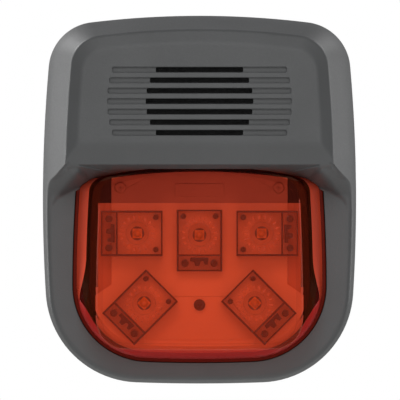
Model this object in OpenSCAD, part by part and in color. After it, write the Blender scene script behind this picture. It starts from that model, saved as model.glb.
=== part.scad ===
// Wall-mounted alarm siren with a strobe: a hooked-on cover with a horn and a
// tinted lens, on a base plate that carries the wiring terminals.
// Every module is drawn lying on its back: X to the right, Y up the wall and
// Z out of the wall. upright() then turns it so that the wall is the XZ plane.

/* [Body] */
// Width of the cover across its sides
body_w = 116; // [112:1:124]
// Height of the cover
body_h = 136; // [132:1:146]
// Depth from the wall to the front of the hood
body_d = 56; // [54:0.5:62]
// Wall thickness of the mouldings
wall = 2.4; // [2:0.1:2.8]
// Radius of the upper corners of the cover
top_corner_r = 18; // [15:0.5:21]
// Radius of the lower corners of the cover
bottom_corner_r = 35; // [30:0.5:38]

/* [Hood] */
// How far the hood's front edge lies inside the cover's side
hood_side_inset = 9.2; // [7:0.2:11]
// How far the hood's front edge lies inside the cover's top
hood_top_inset = 6.2; // [5:0.2:8]
// Width of the shallow bevel round the hood's front face
bevel_w = 4.2; // [3:0.2:5]
// Height of that bevel
bevel_h = 2; // [1:0.2:2.6]
// Height of the hood's lower lip above the centre
lip_y = 12; // [11:0.2:13]
// How far the lip lies behind the hood's front face
lip_drop = 2.6; // [2:0.1:3]
// Height above the centre at which the front face bends back to the lip
face_foot_y = 20.2; // [19:0.2:21]
// Angle between the hood's underside and the wall
ramp_angle = 74; // [70:1:78]

/* [Lens] */
// Distance from the wall to the frame round the lens
frame_z = 31.6; // [31:0.2:33]
// Width of the frame beside the lens
frame_side = 11.25; // [10.5:0.25:13]
// Height of the frame below the lens
frame_bottom = 8; // [7:0.5:10]
// How far the lens stands out of the frame
lens_rise = 19.6; // [17:0.2:20.4]
// Thickness of the lens
lens_wall = 2; // [1.6:0.1:2.4]
// Gap between the lens and the cover
lens_gap = 0.35; // [0.2:0.05:0.6]

/* [Grille] */
// Number of slots in the grille
slots = 7; // [5:2:9]
// Distance from slot to slot
slot_pitch = 3.8; // [3.2:0.1:4]
// Height of one slot
slot_h = 1.9; // [1.4:0.1:2.2]
// Height of the grille's centre above the centre of the cover
grille_y = 35.7; // [34:0.1:37]
// Radius of the round area in which the slots are open
grille_r = 19.5; // [17:0.1:20]
// Half the length of the longest groove
groove_half = 33.3; // [30:0.1:36]

/* [Base] */
// Thickness of the base plate
plate_t = 3; // [2.6:0.1:3.4]
// Distance from the wall to the back edge of the cover
skirt_z = 3; // [2.5:0.1:3.5]
// Distance between the two back box screws
box_pitch = 60.3; // [58:0.1:64]
// Width of the wall screw holes
screw_hole_d = 4.5; // [4:0.1:5]
// Radius of the cable entry
cable_r = 14; // [12:0.5:15]
// Number of wiring terminals
poles = 4; // [3:1:4]
// Distance from terminal to terminal
pole_pitch = 6; // [5.6:0.1:6.4]

/* [Strobe] */
// Length of one side-throwing optic
optic_l = 22.5; // [20:0.1:23]
// Width of one optic
optic_w = 16.6; // [15:0.1:17]
// Height of one optic above the reflector
optic_h = 9.6; // [8:0.1:11]

/* [Switch] */
// Number of levers on the setting switch
levers = 5; // [4:1:6]
// Distance from lever to lever
lever_pitch = 2.54; // [2.2:0.01:3]
// Travel of one lever
lever_travel = 1.2; // [1:0.1:1.4]

/* [Hidden] */
$fn = 48;
tiny = 0.01;

// Colours
shell_color = [0.30, 0.30, 0.31];
black_color = [0.05, 0.05, 0.05];
lens_color = [0.80, 0.16, 0.07, 0.75];
white_color = [0.93, 0.93, 0.90];
brass_color = [0.78, 0.62, 0.30];
steel_color = [0.70, 0.71, 0.73];
copper_color = [0.72, 0.45, 0.28];
clear_color = [0.90, 0.92, 0.93, 0.5];
board_color = [0.06, 0.30, 0.14];
red_color = [0.75, 0.08, 0.06];

// Outline of the cover
side_r = 560;
top_crown = 2.3;
bottom_crown = 0.4;
side_flare = 1.1;
body_shape = [body_w, body_h / 2, -body_h / 2, top_corner_r, bottom_corner_r];
hood_corner_r = 11.5;
hood_shape = [
    body_w - 2 * hood_side_inset,
    body_h / 2 - hood_top_inset,
    -body_h / 2 + hood_side_inset,
    hood_corner_r,
    bottom_corner_r - hood_side_inset
];
face_corner_r = 8.5;
face_shape = [
    hood_shape[0] - 2 * bevel_w,
    hood_shape[1] - bevel_w - 0.9,
    hood_shape[2] + bevel_w,
    face_corner_r,
    hood_shape[4] - bevel_w
];

// Levels of the cover, as distances from the wall
crease_z = body_d - bevel_h;
straight_z = 21;
face_inner_z = body_d - wall;
frame_inner_z = frame_z - wall;
rear_cover_z = 15.8;
rear_cover_t = 1.8;
cover_screw_z = rear_cover_z + 2;
main_board_z = 20.6;
board_t = 1.6;
main_top_z = main_board_z + board_t;
strobe_board_z = 30;
tray_z = strobe_board_z + board_t;
tray_t = 1.4;
optic_z = tray_z + tray_t;

// Side profile of the cover's front
lip_round = 2;
ramp_fillet = 7;
face_foot = [face_foot_y, body_d];
lip = [lip_y, body_d - lip_drop];
ramp_foot = [lip_y - (lip[1] - frame_z) / tan(ramp_angle), frame_z];

// Hinge line of the cover, as height above the centre and distance from the wall
hinge_y = body_h / 2 - 7;
hinge_z = skirt_z + 5.8;
hinge_bar_r = 1.5;
hinge_gap = 0.25;
claw_x = 28;
claw_w = 9;
cheek_t = 2;
cheek_r = 2;

// Base plate
base_inset = wall + 2;
base_top = hinge_y - 4.5;
box_y = 18;
corner_hole = [38, 36];
corner_hole_y = 5;
upstand_h = 6;
upstand_t = 1.8;
upstand_top = 38;
slot_l = 9;

// Terminals
block_h = 12;
pole_x0 = -(poles - 1) / 2 * pole_pitch;
clamp_travel = 2.25;
clamp_w = 4.4;
clamp_gap = 0.25;
bar_z = plate_t + 4.5;
bar_t = 0.9;
pin_y = 28 - body_h / 2;
block_y = [pin_y + 4, pin_y + 18];
clamp_y = pin_y + 12;
pin_t = 0.8;
pin_w = 2.4;

// Lock screw
lock_z = 9;
lock_travel = 3.5;
lock_r = 1.5;
lock_head_r = 2.75;
lock_head_h = 2.4;
lock_len = 12;
lock_head_y = -body_h / 2 + 0.2;
lock_tip_y = lock_head_y + lock_head_h + lock_len;
lock_tab_t = 2.5;
lock_tab_y = lock_tip_y + 0.4;
insert_y = lock_head_y + lock_head_h + lock_travel + 0.3;
insert_l = 4;
insert_r = 2.5;
clip_y = insert_y + insert_l + 0.2;
clip_t = 0.5;

// Lens levels and shapes: width, top, bottom, upper and lower corner radius
lens_front_z = frame_z + lens_rise;
lens_rim_z = frame_z + 0.8;
lens_top = 13.4;
opening_w = body_w - 2 * frame_side;
opening_bottom = body_h / 2 - frame_bottom;
opening_shape = [opening_w, lens_top + 0.5, -opening_bottom, 12, 28];
lens_fold_y = -1.2;
lens_fold_drop = 1.2;
flange_z = frame_inner_z - 2.8;
flange_t = 2;
flange_w = 3;
gasket_t = 0.8;

// Sounder
horn_r = 20.8;
mouth_r = horn_r - 1.9;
throat_r = 5;
horn_flat = 15.1;
mesh_t = 0.4;
mesh_z = face_inner_z - mesh_t;
horn_front_z = mesh_z;
neck_z = 42.5;
piezo_z = 36;
piezo_r = horn_r - 3.3;
cap_z = 30;
ear_x = horn_r + 4.7;
ear_t = 2.5;
ear_z = 41.5;

// Fixing posts of the cover
upper_post = [body_w / 2 - 14, body_h / 2 - 22];
lower_post = [body_w / 2 - 7.7, -20];
post_r = 3.4;
pilot_r = 1.15;
cover_screw_r = 1.1;
cover_screw_l = 7.6;
lens_screw_at = [opening_w / 2 - 8.75, lens_top + 2.8];

// Strobe: the board inside the lens, the optics on it and what joins it to the main board
strobe_shape = [opening_w - 12.5, lens_top - 2.4, 5.5 - opening_bottom, 8, 22];
side_optic = [opening_w / 2 - 21.95, (lens_top - opening_bottom) / 2 + 11];
low_optic = [opening_w / 2 - 25.05, 20.7 - opening_bottom];
optic_places = [
    [-side_optic[0], side_optic[1], 180],
    [0, side_optic[1] - 2.6, 270],
    [side_optic[0], side_optic[1], 0],
    [-low_optic[0], low_optic[1], 225],
    [low_optic[0], low_optic[1], 315]
];
led_u = -2;
spacer_at = [
    [0, low_optic[1] + 0.8],
    [17.75 - opening_w / 2, lens_top - 9],
    [opening_w / 2 - 17.75, lens_top - 9]
];
spacer_r = 2.5;
link_y = lens_top - 9.9;
link_w = 14;
link_d = 2.2;

// Tall parts on the main board
capacitor_r = 5;
capacitor_l = 16;
capacitor_gap = 2.5;
inductor_r = 6;
inductor_l = 9;

// Setting switch and volume trimmer
switch_at = [22, -12];
trimmer_at = [-22, -12];
switch_w = levers * lever_pitch + 1.6;
switch_l = 6.2;
switch_back_z = 17.4;
lever_w = 1.1;
lever_l = 1.2;
rotor_r = 2.1;

// ---------------------------------------------------------------- geometry

// Turns a part that lies on its back upright, against the wall.
module upright() rotate([90, 0, 0]) children();

// Draws its children on both sides of the YZ plane.
module both_sides() {
    children();
    mirror([1, 0, 0]) children();
}

function lerp(a, b, f) = a + (b - a) * f;

// The crossing of two circles that lies to the left of the way from c1 to c2.
function crossing(c1, r1, c2, r2) =
    let (
        way = c2 - c1,
        d = norm(way),
        u = way / d,
        along = (d * d + r1 * r1 - r2 * r2) / (2 * d),
        off = sqrt(r1 * r1 - along * along)
    ) c1 + along * u + off * [-u[1], u[0]];

// Radius of the flat arc that crowns two corners of radius r at x = +-cx.
function crown_radius(cx, r, crown) = (cx * cx + pow(crown + r, 2) - r * r) / (2 * crown);

function angle_of(from, to) = atan2(to[1] - from[1], to[0] - from[0]);

// Points of an arc from angle a to angle b in n steps, without its last point.
function arc_points(c, r, a, b, n) =
    [for (i = [0:n - 1]) let (t = lerp(a, b, i / n)) c + r * [cos(t), sin(t)]];

// Right half of an outline, from its lowest point up to its highest.
// shape is [width, top, bottom, upper corner radius, lower corner radius].
function right_half(shape, n) =
    let (
        rt = shape[3],
        rb = shape[4],
        ty = shape[1] - top_crown - rt,
        by = shape[2] + bottom_crown + rb,
        s = crossing([side_flare - rb, by], side_r - rb, [-rt, ty], side_r - rt),
        shift = shape[0] / 2 - (s[0] + side_r),
        side_c = [s[0] + shift, s[1]],
        upper_c = [shift - rt, ty],
        lower_c = [shift + side_flare - rb, by],
        top_c = [0, shape[1] - crown_radius(upper_c[0], rt, top_crown)],
        bottom_c = [0, shape[2] + crown_radius(lower_c[0], rb, bottom_crown)],
        a_bottom = angle_of(bottom_c, lower_c),
        a_low = angle_of(side_c, lower_c),
        a_high = angle_of(side_c, upper_c),
        a_top = angle_of(top_c, upper_c)
    ) concat(
        arc_points(bottom_c, bottom_c[1] - shape[2], -90, a_bottom, 2),
        arc_points(lower_c, rb, a_bottom, a_low, n),
        arc_points(side_c, side_r, a_low, a_high, 6),
        arc_points(upper_c, rt, a_high, a_top, n),
        arc_points(top_c, shape[1] - top_c[1], a_top, 90, 4),
        [[0, shape[1]]]
    );

// A whole outline, counterclockwise from its lowest point.
function outline(shape, n = 12) =
    let (half = right_half(shape, n), m = len(half))
    concat(half, [for (i = [m - 2:-1:1]) [-half[i][0], half[i][1]]]);

// The same outline moved inwards by d.
function inset(shape, d) = shape - d * [2, 1, -1, 1, 1];

function at_height(points, z) = [for (p = points) [p[0], p[1], z]];

// A solid skinned over a list of outlines with as many points each, from back to front.
module skin(rings) {
    n = len(rings[0]);
    m = len(rings);
    polyhedron(
        points = [for (ring = rings, p = ring) p],
        faces = concat(
            [[for (i = [0:n - 1]) i]],
            [[for (i = [n - 1:-1:0]) (m - 1) * n + i]],
            [for (k = [0:m - 2], i = [0:n - 1]) [k * n + i, (k + 1) * n + i, (k + 1) * n + (i + 1) % n]],
            [for (k = [0:m - 2], i = [0:n - 1]) [k * n + i, (k + 1) * n + (i + 1) % n, k * n + (i + 1) % n]]
        )
    );
}

// A flat plate of an outline between two distances from the wall.
module slab(shape, z0, z1) translate([0, 0, z0]) linear_extrude(z1 - z0) polygon(outline(shape));

// Points that round the corner b of the way a-b-c with radius r.
function rounded_corner(a, b, c, r, n) =
    let (
        u = (a - b) / norm(a - b),
        v = (c - b) / norm(c - b),
        half = acos(u * v) / 2,
        mid = (u + v) / norm(u + v),
        centre = b + mid * r / sin(half),
        start = angle_of(centre, b + u * r / tan(half)),
        end = angle_of(centre, b + v * r / tan(half)),
        turn = ((end - start + 540) % 360) - 180
    ) [for (i = [0:n]) centre + r * [cos(start + turn * i / n), sin(start + turn * i / n)]];

// Screw with a round head, its head's seat at the origin and its shank along +Z.
module screw(r, l, head_r, head_h, slot_w = 0.8) {
    difference() {
        union() {
            cylinder(r = r, h = l);
            translate([0, 0, -head_h]) cylinder(r = head_r, h = head_h);
        }
        translate([-head_r, -slot_w / 2, -head_h - tiny]) cube([2 * head_r, slot_w, head_h / 2]);
        translate([-slot_w / 2, -head_r, -head_h - tiny]) cube([slot_w, 2 * head_r, head_h / 2]);
    }
}

// A wire as a round tube along a list of points.
module wire(points, r, sides = 8) {
    n = len(points);
    rings = [for (i = [0:n - 1])
        let (
            a = points[max(i - 1, 0)],
            b = points[min(i + 1, n - 1)],
            w = (b - a) / norm(b - a),
            u = cross(w, [0.31, 0.95, 0.08]) / norm(cross(w, [0.31, 0.95, 0.08])),
            v = cross(w, u)
        ) [for (k = [0:sides - 1]) points[i] + r * (cos(360 * k / sides) * u + sin(360 * k / sides) * v)]];
    skin(rings);
}

// ---------------------------------------------------------------- cover

// Share of the way from the cover's outline to the hood's at a distance from the wall.
chamfer_start = 0.35;
chamfer_z = straight_z + 15;
function hood_share(z) =
    z <= straight_z ? 0.03 * (z - skirt_z) / (straight_z - skirt_z) :
    z <= chamfer_z ? 0.03 + (chamfer_start - 0.03) * pow((z - straight_z) / (chamfer_z - straight_z), 1.5) :
    lerp(chamfer_start, 1, (z - chamfer_z) / (crease_z - chamfer_z));

cover_levels = concat(
    [skirt_z, skirt_z + 0.8],
    [for (i = [0:4]) lerp(straight_z, chamfer_z, i / 4)],
    [crease_z]
);

// The whole form of the cover, moved inwards by d.
module cover_form(d) {
    back = d > 0 ? [at_height(outline(inset(body_shape, d)), -1)] : [];
    sides = [for (z = cover_levels)
        let (tuck = z == skirt_z && d == 0 ? 0.7 : 0)
        at_height(outline(inset(lerp(body_shape, hood_shape, hood_share(z)), d + tuck)), z - (z == crease_z ? d : 0))];
    front = [at_height(outline(inset(face_shape, d)), body_d - d)];
    skin(concat(back, sides, front));
}

// Side profile of the cover's front, with height along X and distance from the wall along Y.
front_profile = concat(
    [[-body_h, -2], [-body_h, frame_z]],
    rounded_corner([-body_h, frame_z], ramp_foot, lip, ramp_fillet, 7),
    rounded_corner(ramp_foot, lip, face_foot, lip_round, 4),
    [face_foot, [body_h, body_d], [body_h, -2]]
);

// Everything behind the cover's front, moved back by d.
module behind_front(d) {
    rotate([90, 0, 90]) linear_extrude(2 * body_w, center = true) offset(delta = -d) polygon(front_profile);
}

module cover_solid(d) {
    intersection() {
        cover_form(d);
        behind_front(d);
    }
}

// The lens's outer form, grown by g.
module lens_form(g) {
    rings = [
        [0, 0, 12, 26, frame_inner_z - 1],
        [0, 0, 12, 26, lens_rim_z],
        [3.1, 0.2, 12, 23, lens_front_z - 8 + g / 2],
        [4.7, 0.5, 11, 21, lens_front_z - 3 + g],
        [7.5, 0.8, 9, 17, lens_front_z + g]
    ];
    fold = [lens_fold_y, lens_front_z + g];
    intersection() {
        skin([for (r = rings) at_height(
            outline([opening_w - 4.5 + 2 * (g - r[0]), lens_top + g - r[1], 2 - opening_bottom - g + r[0] / 2, r[2] + g, r[3] + g]),
            r[4]
        )]);
        rotate([90, 0, 90]) linear_extrude(body_w, center = true) polygon([
            [-body_h, 0], [-body_h, fold[1] + 1], [fold[0], fold[1] + 0.001],
            [lens_top + 5, lens_front_z + g - lens_fold_drop * (lens_top + 5 - fold[0]) / (lens_top - fold[0])],
            [lens_top + 5, 0]
        ]);
    }
}

// One groove of the grille is open where it crosses the round pocket behind it.
module grille_grooves() {
    end_r = 37;
    groove_d = 1.2;
    for (i = [-(slots - 1) / 2:(slots - 1) / 2]) {
        y = i * slot_pitch;
        half = groove_half - (end_r - sqrt(end_r * end_r - y * y));
        translate([-half, grille_y + y - slot_h / 2, body_d - groove_d])
            cube([2 * half, slot_h, groove_d + 1]);
    }
    between_flats() translate([0, grille_y, face_inner_z - 1]) cylinder(r = grille_r, h = wall - groove_d + 1);
}

// A claw that hangs over one bar of the base plate.
module hinge_claw() {
    r = hinge_bar_r + hinge_gap;
    translate([claw_x - claw_w / 2, 0, 0]) {
        difference() {
            union() {
                translate([0, hinge_y, hinge_z]) rotate([0, 90, 0]) cylinder(r = r + 1.6, h = claw_w);
                translate([0, hinge_y, hinge_z - r - 1.6])
                    cube([claw_w, body_h / 2 - wall / 2 - hinge_y - 1.2, 2 * r + 3.2]);
            }
            translate([-1, hinge_y, hinge_z]) rotate([0, 90, 0]) cylinder(r = r, h = claw_w + 2);
            translate([-1, hinge_y - 5, hinge_z - r]) cube([claw_w + 2, 5, 2 * r]);
        }
    }
}

// Boss at the bottom that carries the lock screw.
module lock_boss() {
    boss = 4.6;
    translate([-boss, -body_h / 2 + wall / 2, lock_z - boss])
        cube([2 * boss, insert_y + insert_l + body_h / 2 - wall / 2, 2 * boss]);
}

module front_housing() {
    post_top = face_inner_z - 0.8;
    color(shell_color) difference() {
        union() {
            difference() {
                cover_solid(0);
                cover_solid(wall);
            }
            both_sides() {
                hinge_claw();
                translate([upper_post[0], upper_post[1], main_top_z]) cylinder(r = post_r, h = post_top - main_top_z);
                lower_post();
                translate([ear_x, grille_y, ear_z + ear_t]) cylinder(r = 3, h = face_inner_z - ear_z - ear_t + 0.5);
                translate([lens_screw_at[0], lens_screw_at[1], frame_inner_z - 0.7])
                    cylinder(r = 2.2, h = face_inner_z - frame_inner_z);
                translate([15, -body_h / 2 + wall, flange_z - 1.1]) cube([8, 3.6, 1]);
            }
            lock_boss();
        }
        lens_form(lens_gap);
        slab(inset(opening_shape, 0), frame_inner_z - 0.5, lens_rim_z);
        grille_grooves();
        both_sides() {
            for (p = [upper_post, lower_post]) translate([p[0], p[1], main_top_z - 1])
                cylinder(r = pilot_r, h = cover_screw_z + cover_screw_l + 0.4 - main_top_z + 1);
            translate([ear_x, grille_y, ear_z + ear_t - 1]) cylinder(r = pilot_r, h = 8);
            translate([lens_screw_at[0], lens_screw_at[1], flange_z]) cylinder(r = 0.95, h = 9);
        }
        translate([0, -body_h / 2 - 1, lock_z]) rotate([-90, 0, 0]) {
            cylinder(r = lock_head_r + 0.4, h = insert_y + body_h / 2 + 1);
            cylinder(r = insert_r, h = insert_y + body_h / 2 + insert_l + 2);
        }
    }
}

// Short post on the side wall for a lower cover screw.
module lower_post() {
    h = flange_z - 0.2 - main_top_z;
    translate([lower_post[0], lower_post[1], main_top_z]) cylinder(r = 3, h = h);
    translate([lower_post[0], lower_post[1] - 1.2, main_top_z]) cube([body_w / 2 - wall - 0.2 - lower_post[0], 2.4, h]);
}

module lens() {
    flange_shape = inset(opening_shape, -flange_w) + [0, 1.5, 0, 0, 0];
    color(lens_color) difference() {
        union() {
            lens_form(0);
            slab(inset(opening_shape, lens_gap), flange_z, lens_rim_z);
            slab(flange_shape, flange_z, flange_z + flange_t);
        }
        lens_form(-lens_wall);
        slab(inset(opening_shape, 4.6), flange_z - 1, frame_inner_z);
        both_sides() translate([lens_screw_at[0], lens_screw_at[1], flange_z - 1]) cylinder(r = 1.3, h = 4);
    }
}

module lens_gasket() {
    z = flange_z + flange_t;
    color(black_color) difference() {
        slab(inset(opening_shape, -flange_w + 0.4) + [0, 1.5, 0, 0, 0], z, z + gasket_t);
        slab(inset(opening_shape, lens_gap - 0.05), z - 1, z + gasket_t + 1);
        both_sides() translate([lens_screw_at[0], lens_screw_at[1], z - 1]) cylinder(r = 2.4, h = 4);
    }
}

module lens_screws() {
    color(steel_color) both_sides()
        translate([lens_screw_at[0], lens_screw_at[1], flange_z]) screw(0.9, 8, 1.9, 1.3, 0.5);
}

// ---------------------------------------------------------------- sounder

// Keeps what lies between the two flats that clear the hood's bevels, moved inwards by d.
module between_flats(d = 0) {
    intersection() {
        children();
        translate([-body_w / 2, grille_y - horn_flat + d, 0]) cube([body_w, 2 * (horn_flat - d), body_d]);
    }
}

module acoustic_mesh() {
    color(black_color) between_flats()
        translate([0, grille_y, mesh_z]) cylinder(r = grille_r + 1.1, h = mesh_t);
}

// Horn from its throat to its mouth, as points of radius and distance from the wall.
horn_steps = 6;
function horn_curve(t) = [throat_r * pow(mouth_r / throat_r, t), lerp(neck_z - 2.5, horn_front_z, t)];

module sounder_horn() {
    rim = 1.6;
    chamber_r = piezo_r - 1.5;
    color(black_color) difference() {
        union() {
            difference() {
                between_flats() translate([0, grille_y, neck_z - 2]) cylinder(r = mouth_r + rim, h = horn_front_z - neck_z + 2);
                between_flats(rim) translate([0, grille_y, 0]) rotate_extrude() polygon(concat(
                    [[0, neck_z - 3]],
                    [for (i = [0:horn_steps]) horn_curve(i / horn_steps)],
                    [[mouth_r, body_d], [0, body_d]]
                ));
            }
            translate([0, grille_y, piezo_z]) difference() {
                cylinder(r = horn_r, h = neck_z - piezo_z);
                translate([0, 0, -1]) cylinder(r = chamber_r, h = 3);
                cylinder(r = throat_r, h = 20);
                translate([0, 0, neck_z - piezo_z - 2.5]) cylinder(r1 = throat_r, r2 = throat_r + 4.7, h = 2.6);
            }
            both_sides() sounder_ear();
        }
        both_sides() translate([ear_x, grille_y, ear_z - 1]) cylinder(r = 1.4, h = 5);
    }
}

module sounder_ear() {
    hull_r = 3;
    translate([0, 0, ear_z]) difference() {
        union() {
            translate([ear_x, grille_y, 0]) cylinder(r = hull_r, h = ear_t);
            translate([horn_r - 2, grille_y - hull_r, 0]) cube([ear_x - horn_r + 2, 2 * hull_r, ear_t]);
        }
        translate([0, grille_y, -1]) cylinder(r = horn_r - 1, h = ear_t + 2);
    }
}

module sounder_cap() {
    color(black_color) translate([0, grille_y, cap_z]) difference() {
        cylinder(r = horn_r, h = piezo_z - 0.6 - cap_z);
        translate([0, 0, 1.6]) cylinder(r = piezo_r - 1.9, h = 20);
        for (side = [-1, 1]) translate([side * 5, -9, -1]) cylinder(r = 0.9, h = 4);
    }
}

module piezo_plate() {
    color(brass_color) translate([0, grille_y, piezo_z - 0.4]) cylinder(r = piezo_r, h = 0.4);
}

module piezo_ceramic() {
    color(white_color) translate([0, grille_y, piezo_z - 0.7]) cylinder(r = piezo_r - 5, h = 0.3);
}

module piezo_ring() {
    color(black_color) translate([0, grille_y, piezo_z - 0.6]) difference() {
        cylinder(r = horn_r - 0.2, h = 0.6);
        translate([0, 0, -1]) cylinder(r = piezo_r + 0.1, h = 3);
    }
}

module sounder_screws() {
    color(steel_color) both_sides() translate([ear_x, grille_y, ear_z]) screw(1.1, 9, 2.3, 1.6);
}

// Route of one lead, from the piezo plate down to the main board.
function lead_route(side) = [
    [side * 5, grille_y - 9, piezo_z - 0.8],
    [side * 5, grille_y - 9, 32],
    [side * 5, grille_y - 9, 29],
    [side * 6, grille_y - 11, 27],
    [side * 8, grille_y - 15, 26],
    [side * 9, grille_y - 19, 25.6],
    [side * 9, grille_y - 21, 24],
    [side * 9, grille_y - 21, main_top_z]
];

module sounder_lead_red() color(red_color) wire(lead_route(-1), 0.6);

module sounder_lead_black() color(black_color) wire(lead_route(1), 0.6);

// ---------------------------------------------------------------- strobe

module strobe_board() {
    color(black_color) difference() {
        slab(strobe_shape, strobe_board_z, tray_z);
        spacer_holes(strobe_board_z - 1, 4);
        link_slot(strobe_board_z - 1);
    }
}

module spacer_holes(z, h) for (p = spacer_at) translate([p[0], p[1], z]) cylinder(r = 1.4, h = h);

// Slot through which the row of pins reaches the strobe board.
module link_slot(z) translate([-link_w / 2 - 1, link_y - link_d / 2 - 0.4, z]) cube([link_w + 2, link_d + 0.8, 4]);

// White plate round the optics, narrower at the top than at the bottom.
module reflector_tray() {
    shoulder = opening_w / 2 - 14.45;
    foot = opening_w / 2 - 8.55;
    low = low_optic[1];
    color(white_color) difference() {
        translate([0, 0, tray_z]) linear_extrude(tray_t) intersection() {
            polygon(outline(inset(strobe_shape, 0.6)));
            polygon([
                [-shoulder, body_h], [-shoulder, low + 8.3], [-foot, low + 4.3], [-foot, -body_h],
                [foot, -body_h], [foot, low + 4.3], [shoulder, low + 8.3], [shoulder, body_h]
            ]);
        }
        spacer_holes(tray_z - 1, 4);
        for (p = optic_places) translate([p[0], p[1], tray_z - 1]) rotate(p[2]) translate([led_u, 0, 0])
            cylinder(r = 4.2, h = 4);
        link_slot(tray_z - 1);
        translate([0, 0, tray_z + tray_t - 0.4]) linear_extrude(1)
            polygon([
                [-10.5, low + 3.8], [10.5, low + 3.8], [20, low - 8.7],
                [20, low - 14.7], [-20, low - 14.7], [-20, low - 8.7]
            ]);
    }
}

module led_chips() {
    color([0.95, 0.85, 0.35]) for (p = optic_places)
        translate([p[0], p[1], tray_z]) rotate(p[2]) translate([led_u, 0, 0]) {
            translate([-1.75, -1.75, 0]) cube([3.5, 3.5, 0.8]);
            translate([0, 0, 0.8]) intersection() {
                sphere(r = 1.4);
                cylinder(r = 2, h = 2);
            }
        }
}

// Clear prism that throws an LED's light out of its far end, lying along +X.
module optic(place) {
    half = optic_l / 2;
    step_u = half - 5.9;
    side_t = 1;
    profile = [
        [-half, 0], [half, 0], [half, 3], [step_u, 3], [step_u, optic_h],
        [led_u + 1, optic_h], [led_u - 3, optic_h * 0.62], [-half + 2.6, 3.2], [-half, 3.2]
    ];
    color(clear_color) translate([place[0], place[1], optic_z]) rotate(place[2]) difference() {
        union() {
            translate([0, optic_w / 2 - side_t, 0]) rotate([90, 0, 0]) linear_extrude(optic_w - 2 * side_t) polygon(profile);
            for (side = [-1, 1]) translate([-half, side * (optic_w - side_t) / 2 - side_t / 2, 0])
                cube([optic_l, side_t, optic_h * 0.8]);
            for (side = [-1, 1]) {
                translate([half - 3, side * 5.2, 0]) cylinder(r = 1.5, h = 4.6);
                translate([-half + 2.4, side * 6, 0]) cylinder(r = 1.3, h = 4.6);
            }
        }
        translate([led_u, 0, -1]) cylinder(r = 3, h = 3.4);
        translate([led_u, 0, 2.4]) cylinder(r1 = 3, r2 = 1.4, h = 2.2);
        for (side = [-1, 1]) {
            translate([half - 3, side * 5.2, 1.4]) cylinder(r = 0.7, h = 4);
            translate([-half + 2.4, side * 6, 1.4]) cylinder(r = 0.6, h = 4);
        }
    }
}

module strobe_screws() {
    color(black_color) for (p = spacer_at)
        translate([p[0], p[1], optic_z]) mirror([0, 0, 1]) screw(1.2, 6, 2.1, 1.5, 0.6);
}

module board_spacers() {
    color(brass_color) for (p = spacer_at) translate([p[0], p[1], main_top_z]) difference() {
        cylinder(r = spacer_r, h = strobe_board_z - main_top_z, $fn = 6);
        translate([0, 0, -1]) cylinder(r = 1.25, h = 20);
    }
}

module spacer_screws() {
    color(steel_color) for (p = spacer_at) translate([p[0], p[1], main_board_z]) screw(1.2, 4.6, 2.1, 1.5, 0.6);
}

// Row of pins that joins the two boards.
module board_link() {
    pin = 0.64;
    pin_pitch = 2.54;
    h = strobe_board_z - main_top_z - 0.2;
    color(black_color) translate([-link_w / 2, link_y - link_d / 2, main_top_z]) cube([link_w, link_d, h]);
    color(brass_color) for (i = [-2:2])
        translate([i * pin_pitch - pin / 2, link_y - pin / 2, main_top_z + h]) cube([pin, pin, 3]);
}

// ---------------------------------------------------------------- main board

main_shape = inset(body_shape, wall + 3.4);

module main_board() {
    color(board_color) difference() {
        intersection() {
            slab(main_shape, main_board_z, main_top_z);
            translate([-body_w, -body_h, 0]) cube([2 * body_w, body_h + base_top, body_d]);
        }
        both_sides() {
            translate([upper_post[0], upper_post[1], main_board_z - 1]) cylinder(r = 1.4, h = 4);
            translate([lower_post[0], lower_post[1], main_board_z - 1]) cylinder(r = 1.4, h = 4);
        }
        spacer_holes(main_board_z - 1, 4);
    }
}

module storage_capacitors() {
    x = -(upper_post[0] - post_r - capacitor_r - 0.6);
    for (row = [0, 1])
        translate([x, lens_screw_at[1] + 10.8 + row * (2 * capacitor_r + capacitor_gap), main_top_z])
            color([0.10, 0.12, 0.20]) difference() {
                cylinder(r = capacitor_r, h = capacitor_l);
                translate([0, 0, 1.6]) difference() {
                    cylinder(r = capacitor_r + 1, h = 0.8);
                    translate([0, 0, -1]) cylinder(r = capacitor_r - 0.4, h = 3);
                }
            }
}

module power_inductor() {
    flange = 1.4;
    color(copper_color) translate([upper_post[0] - 9, upper_post[1] - 16, main_top_z]) difference() {
        union() {
            cylinder(r = inductor_r, h = flange);
            cylinder(r = inductor_r - 1.4, h = inductor_l);
            translate([0, 0, inductor_l - flange]) cylinder(r = inductor_r, h = flange);
        }
        translate([0, 0, 2]) cylinder(r = 1.6, h = inductor_l);
    }
}

module circuit_chips() {
    color(black_color) {
        translate([-22, -20, main_top_z]) cube([10, 10, 1.6]);
        translate([12, -18, main_top_z]) cube([6, 5, 1.5]);
        translate([12, -30, main_top_z]) cube([6, 5, 1.5]);
        translate([-30, -34, main_top_z]) cube([9, 6.5, 2.4]);
        translate([30, -6, main_top_z]) cube([8, 6, 2.4]);
    }
}

module contact_pins() {
    color(brass_color) for (i = [0:poles - 1])
        translate([pole_x0 + i * pole_pitch - pin_t / 2, pin_y - pin_w / 2, plate_t + 2.6])
            cube([pin_t, pin_w, main_board_z - plate_t - 2.6]);
}

module dip_switch() {
    slot_travel = lever_l + lever_travel + 0.4;
    color(red_color) translate([switch_at[0], switch_at[1], switch_back_z]) difference() {
        translate([-switch_w / 2, -switch_l / 2, 0]) cube([switch_w, switch_l, main_board_z - switch_back_z]);
        for (i = [0:levers - 1])
            translate([lever_x(i) - lever_w / 2 - 0.2, -slot_travel / 2, -1]) cube([lever_w + 0.4, slot_travel, 3]);
    }
}

function lever_x(i) = (i - (levers - 1) / 2) * lever_pitch;

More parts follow.
